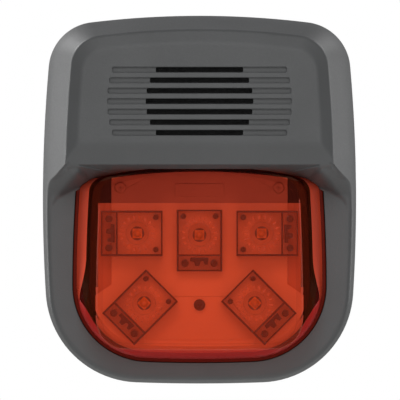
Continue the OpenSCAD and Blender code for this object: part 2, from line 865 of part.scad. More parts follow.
module dip_lever(i) {
    proud = 1;
    color(white_color) translate([
        switch_at[0] + lever_x(i) - lever_w / 2,
        switch_at[1] - (lever_l + lever_travel) / 2,
        switch_back_z - proud
    ]) cube([lever_w, lever_l, proud + 1.8]);
}

module volume_trimmer() {
    body = 6.2;
    color([0.15, 0.25, 0.60]) translate([trimmer_at[0], trimmer_at[1], switch_back_z]) difference() {
        translate([-body / 2, -body / 2, 0]) cube([body, body, main_board_z - switch_back_z]);
        translate([0, 0, -1]) cylinder(r = rotor_r + 0.1, h = 2.6);
    }
}

module trimmer_rotor() {
    color(white_color) translate([trimmer_at[0], trimmer_at[1], switch_back_z - 0.6]) difference() {
        cylinder(r = rotor_r, h = 2);
        translate([-rotor_r, -0.35, -1]) cube([2 * rotor_r, 0.7, 1.8]);
        translate([-0.35, 0, -1]) cube([0.7, rotor_r * 0.8, 1.8]);
    }
}

// ---------------------------------------------------------------- rear cover

module rear_cover() {
    seat = main_board_z - rear_cover_z;
    color(shell_color * 0.8) difference() {
        union() {
            intersection() {
                slab(inset(body_shape, wall + 0.7), rear_cover_z, rear_cover_z + rear_cover_t);
                translate([-body_w, -body_h, 0]) cube([2 * body_w, body_h + base_top + 1, body_d]);
            }
            both_sides() {
                translate([upper_post[0], upper_post[1], rear_cover_z]) cylinder(r = post_r, h = seat);
                translate([lower_post[0], lower_post[1], rear_cover_z]) cylinder(r = 3, h = seat);
            }
        }
        both_sides() for (p = [upper_post, lower_post]) translate([p[0], p[1], rear_cover_z - 1]) {
            cylinder(r = 2.5, h = 3);
            cylinder(r = 1.4, h = seat + 2);
        }
        translate([switch_at[0] - switch_w / 2 - 0.5, switch_at[1] - switch_l / 2 - 0.5, rear_cover_z - 1])
            cube([switch_w + 1, switch_l + 1, 4]);
        translate([trimmer_at[0] - 3.6, trimmer_at[1] - 3.6, rear_cover_z - 1]) cube([7.2, 7.2, 4]);
        translate([pole_x0 - 2.5, pin_y - 2.6, rear_cover_z - 1]) cube([-2 * pole_x0 + 5, 5.2, 4]);
        for (i = [0:5]) translate([-20 + i * 8, 34, rear_cover_z - 1]) cube([2, 14, 4]);
    }
}

module cover_screws() {
    color(steel_color) both_sides() for (p = [upper_post, lower_post])
        translate([p[0], p[1], cover_screw_z]) screw(cover_screw_r, cover_screw_l, 2.3, 1.7);
}

// ---------------------------------------------------------------- lock screw

// Lays a part that stands along +Z at the bottom of the cover, pointing up the wall.
module along_lock(y) translate([0, y, lock_z]) rotate([-90, 0, 0]) children();

module lock_insert() {
    color(brass_color) along_lock(insert_y) difference() {
        cylinder(r = insert_r, h = insert_l);
        translate([0, 0, -1]) cylinder(r = lock_r + 0.1, h = insert_l + 2);
    }
}

module lock_screw() {
    color(steel_color) along_lock(lock_head_y + lock_head_h) screw(lock_r, lock_len, lock_head_r, lock_head_h);
}

module lock_clip() {
    color(black_color) along_lock(clip_y) difference() {
        cylinder(r = lock_r + 1.3, h = clip_t);
        translate([0, 0, -1]) cylinder(r = lock_r + 0.05, h = 3);
    }
}

// ---------------------------------------------------------------- base

base_shape = inset(body_shape, base_inset);

// Bar and two cheeks that carry one claw.
module hinge_lug() {
    inner = claw_x - claw_w / 2 - 0.5;
    span = claw_w + 1;
    for (x = [inner - cheek_t, inner + span]) translate([x, 0, 0]) {
        translate([0, hinge_y, hinge_z]) rotate([0, 90, 0]) cylinder(r = cheek_r, h = cheek_t);
        rotate([90, 0, 90]) linear_extrude(cheek_t) polygon([
            [base_top - 13, plate_t - 1], [base_top - 0.5, plate_t - 1], [base_top, plate_t],
            [hinge_y - 1.4, hinge_z - 1.4], [hinge_y + 0.2, hinge_z], [hinge_y - 0.5, hinge_z + 1.9],
            [base_top - 1, hinge_z], [base_top - 13, plate_t + 1.5]
        ]);
    }
    translate([inner - 0.1, hinge_y, hinge_z]) rotate([0, 90, 0]) cylinder(r = hinge_bar_r, h = span + 0.2);
}

// Tab with the hole for the lock screw's tip.
module lock_tab() {
    half = 5;
    h = lock_z + 4.4 - plate_t;
    difference() {
        union() {
            translate([-half, lock_tab_y, plate_t - 1]) cube([2 * half, lock_tab_t, h + 1]);
            for (side = [-1, 1]) translate([side * (half - 0.8) - 0.8, lock_tab_y + lock_tab_t - 0.1, 0])
                rotate([90, 0, 90]) linear_extrude(1.6) polygon([[0, plate_t - 1], [5, plate_t - 1], [5, plate_t], [0, plate_t + h - 1]]);
        }
        translate([0, lock_tab_y - 1, lock_z]) rotate([-90, 0, 0]) cylinder(r = lock_r + 0.4, h = lock_tab_t + 2);
    }
}

module slot_hole(l, d, h) {
    for (side = [-1, 1]) translate([side * (l - d) / 2, 0, 0]) cylinder(r = d / 2, h = h);
    translate([-(l - d) / 2, -d / 2, 0]) cube([l - d, d, h]);
}

module base_plate() {
    color(shell_color * 0.85) difference() {
        union() {
            intersection() {
                slab(base_shape, 0, plate_t);
                translate([-body_w, -body_h, -1]) cube([2 * body_w, body_h + base_top, body_d]);
            }
            intersection() {
                difference() {
                    slab(base_shape, plate_t - 1, plate_t + upstand_h);
                    slab(inset(base_shape, upstand_t), plate_t - 2, plate_t + upstand_h + 1);
                }
                translate([-body_w, -body_h, 0]) cube([2 * body_w, body_h + upstand_top, body_d]);
            }
            both_sides() hinge_lug();
            lock_tab();
            translate([0, box_y, plate_t - 1]) difference() {
                cylinder(r = cable_r + 2, h = 3);
                translate([0, 0, -1]) cylinder(r = cable_r, h = 5);
            }
        }
        translate([0, box_y, -1]) cylinder(r = cable_r, h = plate_t + 2);
        for (side = [-1, 1]) translate([side * box_pitch / 2, box_y, -1]) slot_hole(slot_l, screw_hole_d, plate_t + 2);
        for (sx = [-1, 1], sy = [-1, 1])
            translate([sx * corner_hole[0], corner_hole_y + sy * corner_hole[1], -1])
                cylinder(r = screw_hole_d / 2, h = plate_t + 2);
        translate([-6, -body_h / 2, plate_t]) cube([12, 14, 20]);
    }
}

module terminal_block() {
    half = -pole_x0 + pole_pitch / 2 + 0.6;
    cavity = clamp_w + 2 * clamp_gap;
    color([0.10, 0.35, 0.20]) difference() {
        translate([-half, block_y[0], plate_t]) cube([2 * half, block_y[1] - block_y[0], block_h]);
        for (i = [0:poles - 1]) translate([pole_x0 + i * pole_pitch, 0, 0]) {
            translate([-cavity / 2, clamp_y - 2.4, plate_t + 0.8]) cube([cavity, 4.8, 9.3]);
            translate([0, clamp_y, plate_t + 8]) cylinder(r = 1.5, h = 6);
            translate([0, clamp_y, plate_t + block_h - 2.2]) cylinder(r = 2.25, h = 4);
            translate([-1.6, clamp_y, plate_t + 1.9]) cube([3.2, 20, 2.5]);
            translate([-1.35, block_y[0] - 1, bar_z - 0.05]) cube([2.7, clamp_y + 4.6 - block_y[0], bar_t + 0.1]);
        }
    }
}

module terminal_screw(i) {
    color(steel_color) translate([pole_x0 + (i - 1) * pole_pitch, clamp_y, plate_t + block_h - 2.1])
        mirror([0, 0, 1]) screw(1.2, block_h - 2.1 - (bar_z + bar_t - plate_t) - 0.1, 2, 1.6, 0.7);
}

// Cage that lifts a wire against the contact bar.
module wire_clamp(i) {
    z = plate_t + 1;
    cage_h = 6.6;
    color(steel_color) translate([pole_x0 + (i - 1) * pole_pitch, clamp_y, z]) difference() {
        translate([-clamp_w / 2, -2, 0]) cube([clamp_w, 4, cage_h]);
        translate([-1.55, -3, 1]) cube([3.1, 6, cage_h - 2.2]);
        cylinder(r = 1.3, h = 20);
    }
}

// Spring clips that take the cover's pins, each on its contact bar.
module contact_clips() {
    leaf = 0.4;
    gap = 0.3;
    reach = pin_t / 2 + gap;
    color(copper_color) for (i = [0:poles - 1]) translate([pole_x0 + i * pole_pitch, 0, 0]) {
        translate([-1.3, block_y[0] - 1.4, bar_z]) cube([2.6, clamp_y + 3.4 - block_y[0] + 1.4, bar_t]);
        translate([-reach - leaf, pin_y - 2.4, plate_t]) cube([2 * (reach + leaf), 4.8, leaf]);
        for (side = [-1, 1]) translate([side * (reach + leaf / 2) - leaf / 2, pin_y - 2.4, plate_t])
            cube([leaf, 4.8, 8]);
        for (side = [-1, 1]) translate([side * (reach + leaf / 2) - leaf / 2, pin_y + 2, bar_z])
            cube([leaf, block_y[0] - 1.2 - pin_y - 1.8, bar_t]);
    }
}

// ---------------------------------------------------------------- assembly

upright() base_plate();
upright() terminal_block();
upright() contact_clips();
for (i = [1:poles]) {
    upright() terminal_screw(i);
    upright() wire_clamp(i);
}
upright() front_housing();
upright() lens();
upright() lens_gasket();
upright() lens_screws();
upright() acoustic_mesh();
upright() sounder_horn();
upright() sounder_cap();
upright() sounder_screws();
upright() piezo_plate();
upright() piezo_ceramic();
upright() piezo_ring();
upright() sounder_lead_red();
upright() sounder_lead_black();
upright() reflector_tray();
upright() strobe_board();
upright() led_chips();
upright() optic(optic_places[0]);  // optic_left
upright() optic(optic_places[1]);  // optic_center
upright() optic(optic_places[2]);  // optic_right
upright() optic(optic_places[3]);  // optic_lower_left
upright() optic(optic_places[4]);  // optic_lower_right
upright() strobe_screws();
upright() board_spacers();
upright() spacer_screws();
upright() board_link();
upright() main_board();
upright() storage_capacitors();
upright() power_inductor();
upright() circuit_chips();
upright() contact_pins();
upright() dip_switch();
for (i = [1:levers]) {
    upright() dip_lever(i - 1);
}
upright() volume_trimmer();
upright() trimmer_rotor();
upright() rear_cover();
upright() cover_screws();
upright() lock_insert();
upright() lock_screw();
upright() lock_clip();
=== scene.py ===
"""Looks of a wall-mounted alarm siren with a strobe.

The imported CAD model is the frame. The moulded cover, the tinted lens, the acoustic mesh and
the screws are modelled here as finer meshes that stand for their CAD nodes, and every other
CAD node is dressed with rounded edges and a node material of its own.

Shapes are drawn in millimetres as the maker's drawing has them: X to the right, Y up the wall
and Z out of the wall. in_frame() turns them into the shared frame, in metres.
"""

from __future__ import annotations

import logging
from dataclasses import astuple, dataclass, field, replace
from enum import Enum
from math import acos, asin, atan2, cos, hypot, pi, radians, sin, sqrt, tan
from typing import Callable, Iterable, Sequence

import bmesh
import bpy
import numpy as np
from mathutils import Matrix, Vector
from mathutils.geometry import delaunay_2d_cdt

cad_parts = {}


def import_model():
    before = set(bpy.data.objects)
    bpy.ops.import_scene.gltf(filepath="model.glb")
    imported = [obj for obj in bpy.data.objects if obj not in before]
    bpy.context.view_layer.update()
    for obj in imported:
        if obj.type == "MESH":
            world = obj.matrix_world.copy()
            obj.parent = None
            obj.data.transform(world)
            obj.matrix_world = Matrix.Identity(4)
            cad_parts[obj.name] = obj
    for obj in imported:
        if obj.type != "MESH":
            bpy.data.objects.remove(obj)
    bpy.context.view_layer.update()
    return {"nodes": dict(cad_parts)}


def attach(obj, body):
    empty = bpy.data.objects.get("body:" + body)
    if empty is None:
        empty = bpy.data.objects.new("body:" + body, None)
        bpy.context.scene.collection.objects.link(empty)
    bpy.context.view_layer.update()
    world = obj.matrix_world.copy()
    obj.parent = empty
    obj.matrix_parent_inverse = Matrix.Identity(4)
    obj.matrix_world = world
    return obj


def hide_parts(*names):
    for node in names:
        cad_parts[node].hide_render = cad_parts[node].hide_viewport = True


log = logging.getLogger("alarm_siren")

Point = tuple[float, float, float]
Plan = tuple[float, float]
Rgb = tuple[float, float, float]
Loop = Sequence[Plan]
Ring = Sequence[Sequence[float]]
Socket = bpy.types.NodeSocket
Node = bpy.types.Node
Material = bpy.types.Material
Mesh = bpy.types.Mesh
Piece = bpy.types.Object

# points of a mesh that are nearer to each other than this, in metres, become one
WELD = 2e-7
# plan points that are nearer to each other than this, in millimetres, are filled as one
FILL_WELD = 1e-5


# ------------ helpers


def srgb(r: float, g: float, b: float) -> Rgb:
    """Turns a display colour, 0 to 255 a channel, into linear light.

    Args:
        r: Red.
        g: Green.
        b: Blue.

    Returns:
        The three channels in linear light.
    """
    def channel(v: float) -> float:
        """Linear light of one channel."""
        v /= 255
        return v / 12.92 if v <= 0.04045 else ((v + 0.055) / 1.055) ** 2.4

    return channel(r), channel(g), channel(b)


def lerp(a: float, b: float, f: float) -> float:
    """Value at the share f of the way from a to b."""
    return a + (b - a) * f


def in_frame(p: Sequence[float]) -> Vector:
    """Point of the drawing, in millimetres, as a point of the shared frame, in metres."""
    return Vector((p[0], -p[2], p[1])) / 1000


def soft_max(a: float, b: float, k: float) -> float:
    """The greater of two numbers, blended where they are less than k apart."""
    h = max(k - abs(a - b), 0) / k
    return max(a, b) + h * h * k / 4


def smooth_step(x: float, low: float, high: float) -> float:
    """Soft ramp from 0 at low to 1 at high."""
    t = min(max((x - low) / (high - low), 0.0), 1.0)
    return t * t * (3 - 2 * t)


def halve(low: float, high: float, steps: int, below: Callable[[float], bool]) -> tuple[float, float]:
    """Narrows down where a condition stops holding.

    Args:
        low: Value at which it holds.
        high: Value at which it doesn't.
        steps: Number of halvings.
        below: The condition.

    Returns:
        The greatest value found at which it holds and the least at which it doesn't.
    """
    for _ in range(steps):
        middle = (low + high) / 2
        low, high = (middle, high) if below(middle) else (low, middle)
    return low, high


# ------------ finishes


class Nodes:
    """Short way to build one material's node tree."""

    def __init__(self, name: str) -> None:
        """Starts an empty node material.

        Args:
            name: Name of the material.
        """
        self.material = bpy.data.materials.new(name)
        self.material.use_nodes = True
        self.tree = self.material.node_tree
        self.tree.nodes.clear()
        self.output = self.tree.nodes.new("ShaderNodeOutputMaterial")
        self.coordinates = self.tree.nodes.new("ShaderNodeTexCoord").outputs["Object"]

    def add(self, kind: str, **values: object) -> Node:
        """Adds a node.

        Args:
            kind: Node type, without its "ShaderNode".
            values: Settings of the node. A name with a leading "in_" sets that input, with
                underscores for spaces.

        Returns:
            The node.
        """
        node = self.tree.nodes.new(f"ShaderNode{kind}")
        for key, value in values.items():
            if key.startswith("in_"):
                self.feed(node.inputs[key[3:].replace("_", " ")], value)
            else:
                setattr(node, key, value)
        return node

    def feed(self, socket: Socket, value: object) -> None:
        """Links a socket to an output, or sets its plain value.

        Args:
            socket: The socket.
            value: An output, or a plain value.
        """
        if isinstance(value, Socket):
            self.tree.links.new(value, socket)
        elif socket.type == "RGBA" and len(value) == 3:
            socket.default_value = (*value, 1)
        else:
            socket.default_value = value

    def noise(self, scale: float, detail: float, stretch: Point = (1, 1, 1)) -> Socket:
        """Noise on the piece's own coordinates.

        Args:
            scale: Grains per metre.
            detail: Finer octaves.
            stretch: Scale of the pattern along each axis.

        Returns:
            The noise value, about 0.5 on average.
        """
        mapping = self.add("Mapping", in_Vector=self.coordinates, in_Scale=stretch)
        texture = self.add("TexNoise", in_Vector=mapping.outputs[0], in_Scale=scale, in_Detail=detail)
        return texture.outputs[0]

    def span(self, value: Socket, low: float, high: float, start: float = 0.3, end: float = 0.7) -> Socket:
        """Maps a value from start..end to low..high."""
        return self.add("MapRange", in_Value=value, in_From_Min=start, in_From_Max=end,
                        in_To_Min=low, in_To_Max=high).outputs[0]

    def about(self, value: Socket, middle: float, spread: float) -> Socket:
        """Maps a pattern to a range on both sides of its middle."""
        return self.span(value, middle - spread, middle + spread)

    def shade(self, color: Rgb, value: Socket, depth: float) -> Socket:
        """Colour that a pattern darkens and lightens by the share depth.

        Args:
            color: Its middle.
            value: The pattern.
            depth: The share.

        Returns:
            The colour.
        """
        mix = self.add("Mix", data_type="RGBA", in_Factor=self.span(value, 0, 1))
        self.feed(mix.inputs[6], tuple(c * (1 - depth) for c in color))
        self.feed(mix.inputs[7], tuple(min(c * (1 + depth), 1) for c in color))
        return mix.outputs[2]

    def bump(self, value: Socket, height: float) -> Socket:
        """Normal that a pattern of this height, in metres, bends."""
        return self.add("Bump", in_Height=value, in_Distance=height, in_Strength=1.0).outputs[0]

    def product(self, a: Socket, b: Socket | float) -> Socket:
        """Product of two numbers.

        Args:
            a: First number.
            b: Second number.

        Returns:
            The product.
        """
        node = self.add("Math", operation="MULTIPLY")
        for socket, value in zip(node.inputs, (a, b)):
            self.feed(socket, value)
        return node.outputs[0]

    def blend(self, share: Socket | float, first: Node, second: Node) -> Node:
        """Mixes two shaders.

        Args:
            share: How much of the second shows.
            first: One shader.
            second: The other.

        Returns:
            The mixed shader.
        """
        mix = self.add("MixShader")
        for socket, value in zip(mix.inputs, (share, first.outputs[0], second.outputs[0])):
            self.feed(socket, value)
        return mix

    def finish(self, shader: Node) -> Material:
        """Links the shader to the output and returns the material."""
        self.tree.links.new(shader.outputs[0], self.output.inputs["Surface"])
        return self.material


@dataclass(frozen=True)
class Finish:
    """Finish of a surface.

    Attributes:
        name: Name of the finish.
        slot: Material slot of the record; not used.
        color: Linear colour.
    """

    name: str
    slot: str
    color: Rgb

    def material(self) -> Material:
        """Builds the node material."""
        raise NotImplementedError


@dataclass(frozen=True)
class MouldedPlastic(Finish):
    """Opaque injection-moulded plastic with a spark-eroded grain.

    Attributes:
        rough: Roughness in the middle of its range.
        grain: Grains per metre.
        grain_height: Height of the grain in metres.
    """

    rough: float
    grain: float = 1900
    grain_height: float = 0.00004

    def material(self) -> Material:
        """Builds the node material.

        Returns:
            The material.
        """
        n = Nodes(self.name)
        fine, broad = n.noise(self.grain, 3), n.noise(46, 4)
        return n.finish(n.add("BsdfPrincipled", in_Base_Color=n.shade(self.color, broad, 0.06),
                              in_Roughness=n.about(fine, self.rough, 0.06),
                              in_Normal=n.bump(fine, self.grain_height)))


@dataclass(frozen=True)
class TintedLens(Finish):
    """Tinted clear plastic that lets what is behind it and the lamps' light through.

    Its color is the share of each channel that one surface lets through.

    Attributes:
        haze: Share of the surface that scatters light.
        haze_color: Colour of the scattered light.
        rough: Roughness of the gloss.
        specular: Strength of the gloss.
    """

    haze: float
    haze_color: Rgb
    rough: float = 0.12
    specular: float = 0.12

    def material(self) -> Material:
        """Builds the node material.

        Returns:
            The material.
        """
        n = Nodes(self.name)
        flow, fine = n.noise(18, 3, (1, 1, 2.2)), n.noise(520, 2)
        body = n.add("BsdfPrincipled", in_Base_Color=n.shade(self.haze_color, flow, 0.08),
                     in_Roughness=n.about(fine, self.rough, 0.03), in_Specular_IOR_Level=self.specular)
        return n.finish(n.blend(self.haze, n.add("BsdfTransparent", in_Color=self.color), body))


class Grain(Enum):
    """Way in which a metal surface was worked."""

    DRAWN = (1.0, 1.0, 14.0)
    TURNED = (6.0, 1.0, 6.0)


@dataclass(frozen=True)
class Metal(Finish):
    """Bare or plated metal.

    Attributes:
        rough: Roughness in the middle of its range.
        grain: How the surface was worked.
    """

    rough: float
    grain: Grain

    def material(self) -> Material:
        """Builds the node material.

        Returns:
            The material.
        """
        n = Nodes(self.name)
        lines, patches = n.noise(900, 3, self.grain.value), n.noise(120, 3)
        return n.finish(n.add("BsdfPrincipled", in_Metallic=1.0,
                              in_Base_Color=n.shade(self.color, patches, 0.10),
                              in_Roughness=n.about(lines, self.rough, 0.09),
                              in_Normal=n.bump(lines, 0.00001)))


@dataclass(frozen=True)
class BoardEnamel(Finish):
    """Solder resist over a glass-fibre board, with the weave faintly showing."""

    def material(self) -> Material:
        """Builds the node material.

        Returns:
            The material.
        """
        n = Nodes(self.name)
        weave = n.product(*(n.add("TexWave", in_Vector=n.coordinates, in_Scale=420.0,
                                  bands_direction=way).outputs["Fac"] for way in "XZ"))
        return n.finish(n.add("BsdfPrincipled", in_Base_Color=n.shade(self.color, n.noise(70, 4), 0.12),
                              in_Roughness=n.span(weave, 0.30, 0.42, 0, 1), in_Normal=n.bump(weave, 0.00001)))


@dataclass(frozen=True)
class Rubber(Finish):
    """Matt foam or rubber."""

    def material(self) -> Material:
        """Builds the node material.

        Returns:
            The material.
        """
        n = Nodes(self.name)
        cells = n.add("TexVoronoi", in_Vector=n.coordinates, in_Scale=1500.0).outputs["Distance"]
        return n.finish(n.add("BsdfPrincipled", in_Base_Color=n.shade(self.color, n.noise(300, 2), 0.15),
                              in_Roughness=n.span(n.noise(700, 2), 0.78, 0.92),
                              in_Normal=n.bump(cells, 0.00008)))


class Shade(Enum):
    """Every finish of the object."""

    HOUSING = MouldedPlastic("housing_grey", "housing", srgb(74, 75, 76), 0.52)
    BASE = MouldedPlastic("base_grey", "base", srgb(58, 59, 60), 0.55)
    BLACK = MouldedPlastic("black_plastic", "black_plastic", srgb(22, 22, 23), 0.42)
    WHITE = MouldedPlastic("reflector_white", "white_plastic", srgb(226, 224, 218), 0.38, 1400, 0.00001)
    GREEN = MouldedPlastic("terminal_green", "terminal_green", srgb(40, 112, 66), 0.45)
    RED = MouldedPlastic("switch_red", "switch_red", srgb(170, 28, 22), 0.35, 1500, 0.00001)
    BLUE = MouldedPlastic("trimmer_blue", "trimmer_blue", srgb(38, 74, 150), 0.35, 1500, 0.00001)
    RED_SLEEVE = MouldedPlastic("lead_red", "wire_red", srgb(176, 30, 26), 0.4, 1500, 0.00001)
    BLACK_SLEEVE = MouldedPlastic("lead_black", "wire_black", srgb(26, 26, 27), 0.4, 1500, 0.00001)
    CAN = MouldedPlastic("capacitor_sleeve", "capacitor", srgb(34, 38, 58), 0.28, 1500, 0.00001)
    CERAMIC = MouldedPlastic("fired_ceramic", "ceramic", srgb(206, 200, 184), 0.6, 2400, 0.00002)
    EMITTER = MouldedPlastic("led_phosphor", "led", srgb(232, 206, 92), 0.3, 2400, 0.00001)
    LENS_FACET = TintedLens("lens_facet", "lens", (1.0, 0.565, 0.425), 0.155, srgb(226, 70, 36))
    LENS_INNER = TintedLens("lens_inner", "lens", (0.975, 0.56, 0.42), 0.002, srgb(150, 74, 60))
    # the folded slope above the fold has a darker tint: painted shade of the hood that overhangs the lens's top
    LENS_TOP_PAINTED_SHADE = TintedLens("lens_top", "lens", (0.70, 0.41, 0.41), 0.012, srgb(150, 74, 60))
    LENS_SHOULDER = TintedLens("lens_shoulder", "lens", (0.88, 0.50, 0.38), 0.012, srgb(150, 74, 60))
    # the band round the flat front has a lighter haze: a painted highlight along the facet's edge
    LENS_EDGE_PAINTED_HIGHLIGHT = TintedLens("lens_edge_painted_highlight", "lens", (0.925, 0.515, 0.36), 0.32, srgb(224, 92, 70))
    # the steep side wall has a strong, bright haze: painted light standing for the side lamps' light shining
    # through the wall
    LENS_WALL_PAINTED_LIGHT = TintedLens("lens_wall", "lens", (0.925, 0.515, 0.36), 0.70, srgb(236, 84, 56))
    # the wall and shoulder round the lower end have a brighter haze: painted light standing for the light that
    # shows through the lens's lower end
    LENS_SLOPE_PAINTED_LIGHT = TintedLens("lens_slope_painted_light", "lens", (0.93, 0.52, 0.40), 0.40, srgb(222, 56, 52), 0.2, 0.05)
    # the rim and flange have a much darker tint: painted shade of the gap between the lens and the cover
    LENS_RIM_PAINTED_SHADE = TintedLens("lens_rim_painted_shade", "lens", (0.45, 0.10, 0.06), 0.60, srgb(112, 28, 14), 0.3, 0.04)
    CLEAR = TintedLens("optic_clear", "clear_plastic", (0.988, 0.98, 0.975), 0.02, srgb(186, 180, 176), 0.1, 0.8)
    PETAL = TintedLens("optic_petal", "clear_plastic", (0.88, 0.82, 0.80), 0.34, srgb(236, 226, 216), 0.08, 0.8)
    # the optic's cheeks, end ribs and ledge wall are darkened clear plastic: painted shade standing for the dark
    # lines that refraction shows along a clear optic's edges
    SMOKE = TintedLens("optic_edge_painted_shade", "clear_plastic", (0.44, 0.36, 0.33), 0.25, srgb(60, 50, 46), 0.2, 0.4)
    FOAM = Rubber("gasket_foam", "gasket", srgb(20, 20, 21))
    WIRE_MESH = Rubber("mesh_black", "mesh", srgb(14, 14, 15))
    BOARD_GREEN = BoardEnamel("main_board_green", "board_green", srgb(18, 92, 52))
    BOARD_BLACK = BoardEnamel("strobe_board_black", "board_black", srgb(16, 17, 18))
    # pale strips on the board beside the tray, lighter than the board; they lighten the band seen through the
    # lens's sides
    PALE_BOARD_STRIP = MouldedPlastic("pale_board_strip", "white_plastic", srgb(196, 168, 146), 0.5, 2400, 0.00001)
    BRASS = Metal("brass", "brass", srgb(206, 172, 104), 0.30, Grain.TURNED)
    COPPER = Metal("copper", "copper", srgb(204, 132, 92), 0.34, Grain.DRAWN)
    STEEL = Metal("zinc_plated_steel", "steel", srgb(190, 192, 196), 0.34, Grain.TURNED)

    def material(self) -> Material:
        """The finish's material, built when it is first asked for."""
        found = bpy.data.materials.get(self.value.name)
        return found or self.value.material()


@dataclass(frozen=True)
class Seat:
    """Place of one part of a pattern.

    Attributes:
        at: Its point, in millimetres.
        turn: Turn about the way out of the wall, in degrees.
        back: Whether it faces the wall.
    """

    at: Point
    turn: float = 0.0
    back: bool = False

    def angles(self) -> tuple[float, float, float]:
        """Angles that turn the part's z out of the seat, in the frame."""
        return (-pi / 2 if self.back else pi / 2, -radians(self.turn), 0.0)


# ------------ mesh building


class Form:
    """Points and faces of one piece, drawn in millimetres."""

    def __init__(self) -> None:
        """Starts an empty form."""
        self.points: list[Point] = []
        self.faces: list[tuple[int, ...]] = []
        self.paint: list[int] = []
        self.centre: Plan = (0.0, 0.0)
        self.turn: float = 0.0

    def add(self, points: Iterable[Sequence[float]]) -> list[int]:
        """Adds points.

        Args:
            points: The points.

        Returns:
            Their numbers.
        """
        first = len(self.points)
        (cx, cy), c, s = self.centre, cos(self.turn), sin(self.turn)
        for x, y, z in points:
            self.points.append((float(cx + c * x - s * y), float(cy + s * x + c * y), float(z)))
        return list(range(first, len(self.points)))

    def face(self, corners: Sequence[int], paint: int = 0) -> None:
        """Adds a face in the finish of number paint."""
        self.faces.append(tuple(corners))
        self.paint.append(paint)

    def strip(self, low: Sequence[int], high: Sequence[int], paint: int = 0, closed: bool = True) -> None:
        """Joins two rows of as many points with a strip of four-sided faces.

        Args:
            low: First row.
            high: Second row.
            paint: Number of the finish.
            closed: Whether the rows close on themselves.
        """
        n = len(low)
        for i in range(n if closed else n - 1):
            j = (i + 1) % n
            self.face((low[i], low[j], high[j], high[i]), paint)

    def loft(self, rings: Sequence[Ring], paints: Sequence[int] | None = None) -> list[list[int]]:
        """Joins closed rings of points one after the other.

        Args:
            rings: The rings, as many points each.
            paints: Number of the finish of each strip between two rings.

        Returns:
            The point numbers of each ring.
        """
        rows = [self.add(ring) for ring in rings]
        for k in range(len(rows) - 1):
            self.strip(rows[k], rows[k + 1], paints[k] if paints else 0)
        return rows

    def close(self, plan: Loop, place: Callable[[float, float], Sequence[float]], paint: int = 0,
              holes: Sequence[Loop] = (), cuts: Sequence[Loop] = ()) -> None:
        """Closes a plan outline with triangles.

        Args:
            plan: Corners of the outline.
            place: Point of a plan position.
            paint: Number of the finish.
            holes: Corners of each hole.
            cuts: Segments along which edges must run.
        """
        made, triangles = fill(plan, holes, cuts)
        numbers = self.add([place(a, b) for a, b in made])
        for t in triangles:
            self.face([numbers[i] for i in t], paint)

    def prism(self, plan: Loop, low: float, high: float, edge: float, paint: int = 0,
              place: Callable[[float, float, float], Sequence[float]] = lambda a, b, h: (a, b, h)) -> None:
        """Adds a closed prism with bevelled ends.

        Args:
            plan: Corners, counterclockwise.
            low: Height of one end.
            high: Height of the other.
            edge: Width of the bevels.
            paint: Number of the finish.
            place: Point of a plan position at a height, for prisms that lie on their side.
        """
        levels = ((low, edge), (low + edge, 0.0), (high - edge, 0.0), (high, edge))
        self.loft([[place(a, b, h) for a, b in shrink(plan, d)] for h, d in levels], [paint] * 3)
        for h in (low, high):
            self.close(shrink(plan, edge), lambda a, b, h=h: place(a, b, h), paint)

    def turned(self, centre: Plan, profile: Loop, paint: int = 0, steps: int = 24) -> None:
        """Adds a solid turned about centre; its profile is radius and height, from end to end."""
        self.loft([[(x, y, z) for x, y in circle(centre, r, steps)] for r, z in profile],
                  [paint] * (len(profile) - 1))

    def build(self, name: str, shades: Sequence[Shade], body: str, stands_for: Sequence[str] = (),
              sharp: float = 38.0, bores: Sequence[Form] = ()) -> None:
        """Makes the form a piece that rides on a body.

        Args:
            name: Name of the piece.
            shades: Its finishes, by number.
            body: The body that it rides on.
            stands_for: CAD nodes that it replaces.
            sharp: Angle in degrees above which an edge stays sharp.
            bores: Solids that are cut out of it.
        """
        mesh = self.mesh(name, shades)
        for bore in bores:
            mesh = carve(mesh, bore.mesh("bore", shades[:1]))
        finished(mesh, name, shades[0], body, stands_for, sharp)

    def mesh(self, name: str, shades: Sequence[Shade]) -> Mesh:
        """Makes the form a closed mesh with its normals outwards.

        Args:
            name: Name of the mesh.
            shades: Its finishes, by number.

        Returns:
            The mesh.
        """
        mesh = bpy.data.meshes.new(name)
        mesh.from_pydata([in_frame(p) for p in self.points], [], self.faces)
        mesh.polygons.foreach_set("material_index", self.paint)
        for shade in shades:
            mesh.materials.append(shade.material())
        mend(mesh, True)
        return mesh


def mend(mesh: Mesh, thin: bool) -> None:
    """Joins a mesh's faces at their common points and turns their normals outwards.

    Args:
        mesh: The mesh.
        thin: Whether faces without area are taken out.
    """
    shape = bmesh.new()
    shape.from_mesh(mesh)
    bmesh.ops.remove_doubles(shape, verts=shape.verts, dist=WELD)
    if thin:
        bmesh.ops.dissolve_degenerate(shape, edges=shape.edges, dist=WELD)
    bmesh.ops.recalc_face_normals(shape, faces=shape.faces)
    shape.to_mesh(mesh)
    shape.free()


def linked(name: str, data: bpy.types.ID) -> Piece:
    """Makes an object and links it to the scene.

    Args:
        name: Name of the object.
        data: Its mesh, lamp or camera.

    Returns:
        The object.
    """
    made = bpy.data.objects.new(name, data)
    bpy.context.scene.collection.objects.link(made)
    return made


def evaluated(holder: Piece) -> Mesh:
    """Plain mesh of an object with its modifiers; the object is taken away.

    Args:
        holder: The object.

    Returns:
        The mesh.
    """
    graph = bpy.context.evaluated_depsgraph_get()
    mesh = bpy.data.meshes.new_from_object(holder.evaluated_get(graph), depsgraph=graph)
    holder.modifiers.clear()
    bpy.data.objects.remove(holder)
    return mesh


def carve(mesh: Mesh, tool: Mesh) -> Mesh:
    """Cuts a closed tool out of a closed mesh.

    Args:
        mesh: The blank.
        tool: The tool.

    Returns:
        The cut mesh.
    """
    holder, cutter = linked("blank", mesh), linked("tool", tool)
    cut = holder.modifiers.new("cut", "BOOLEAN")
    cut.operation = "DIFFERENCE"
    cut.solver = "EXACT"
    cut.object = cutter
    made = evaluated(holder)
    bpy.data.objects.remove(cutter)
    return made


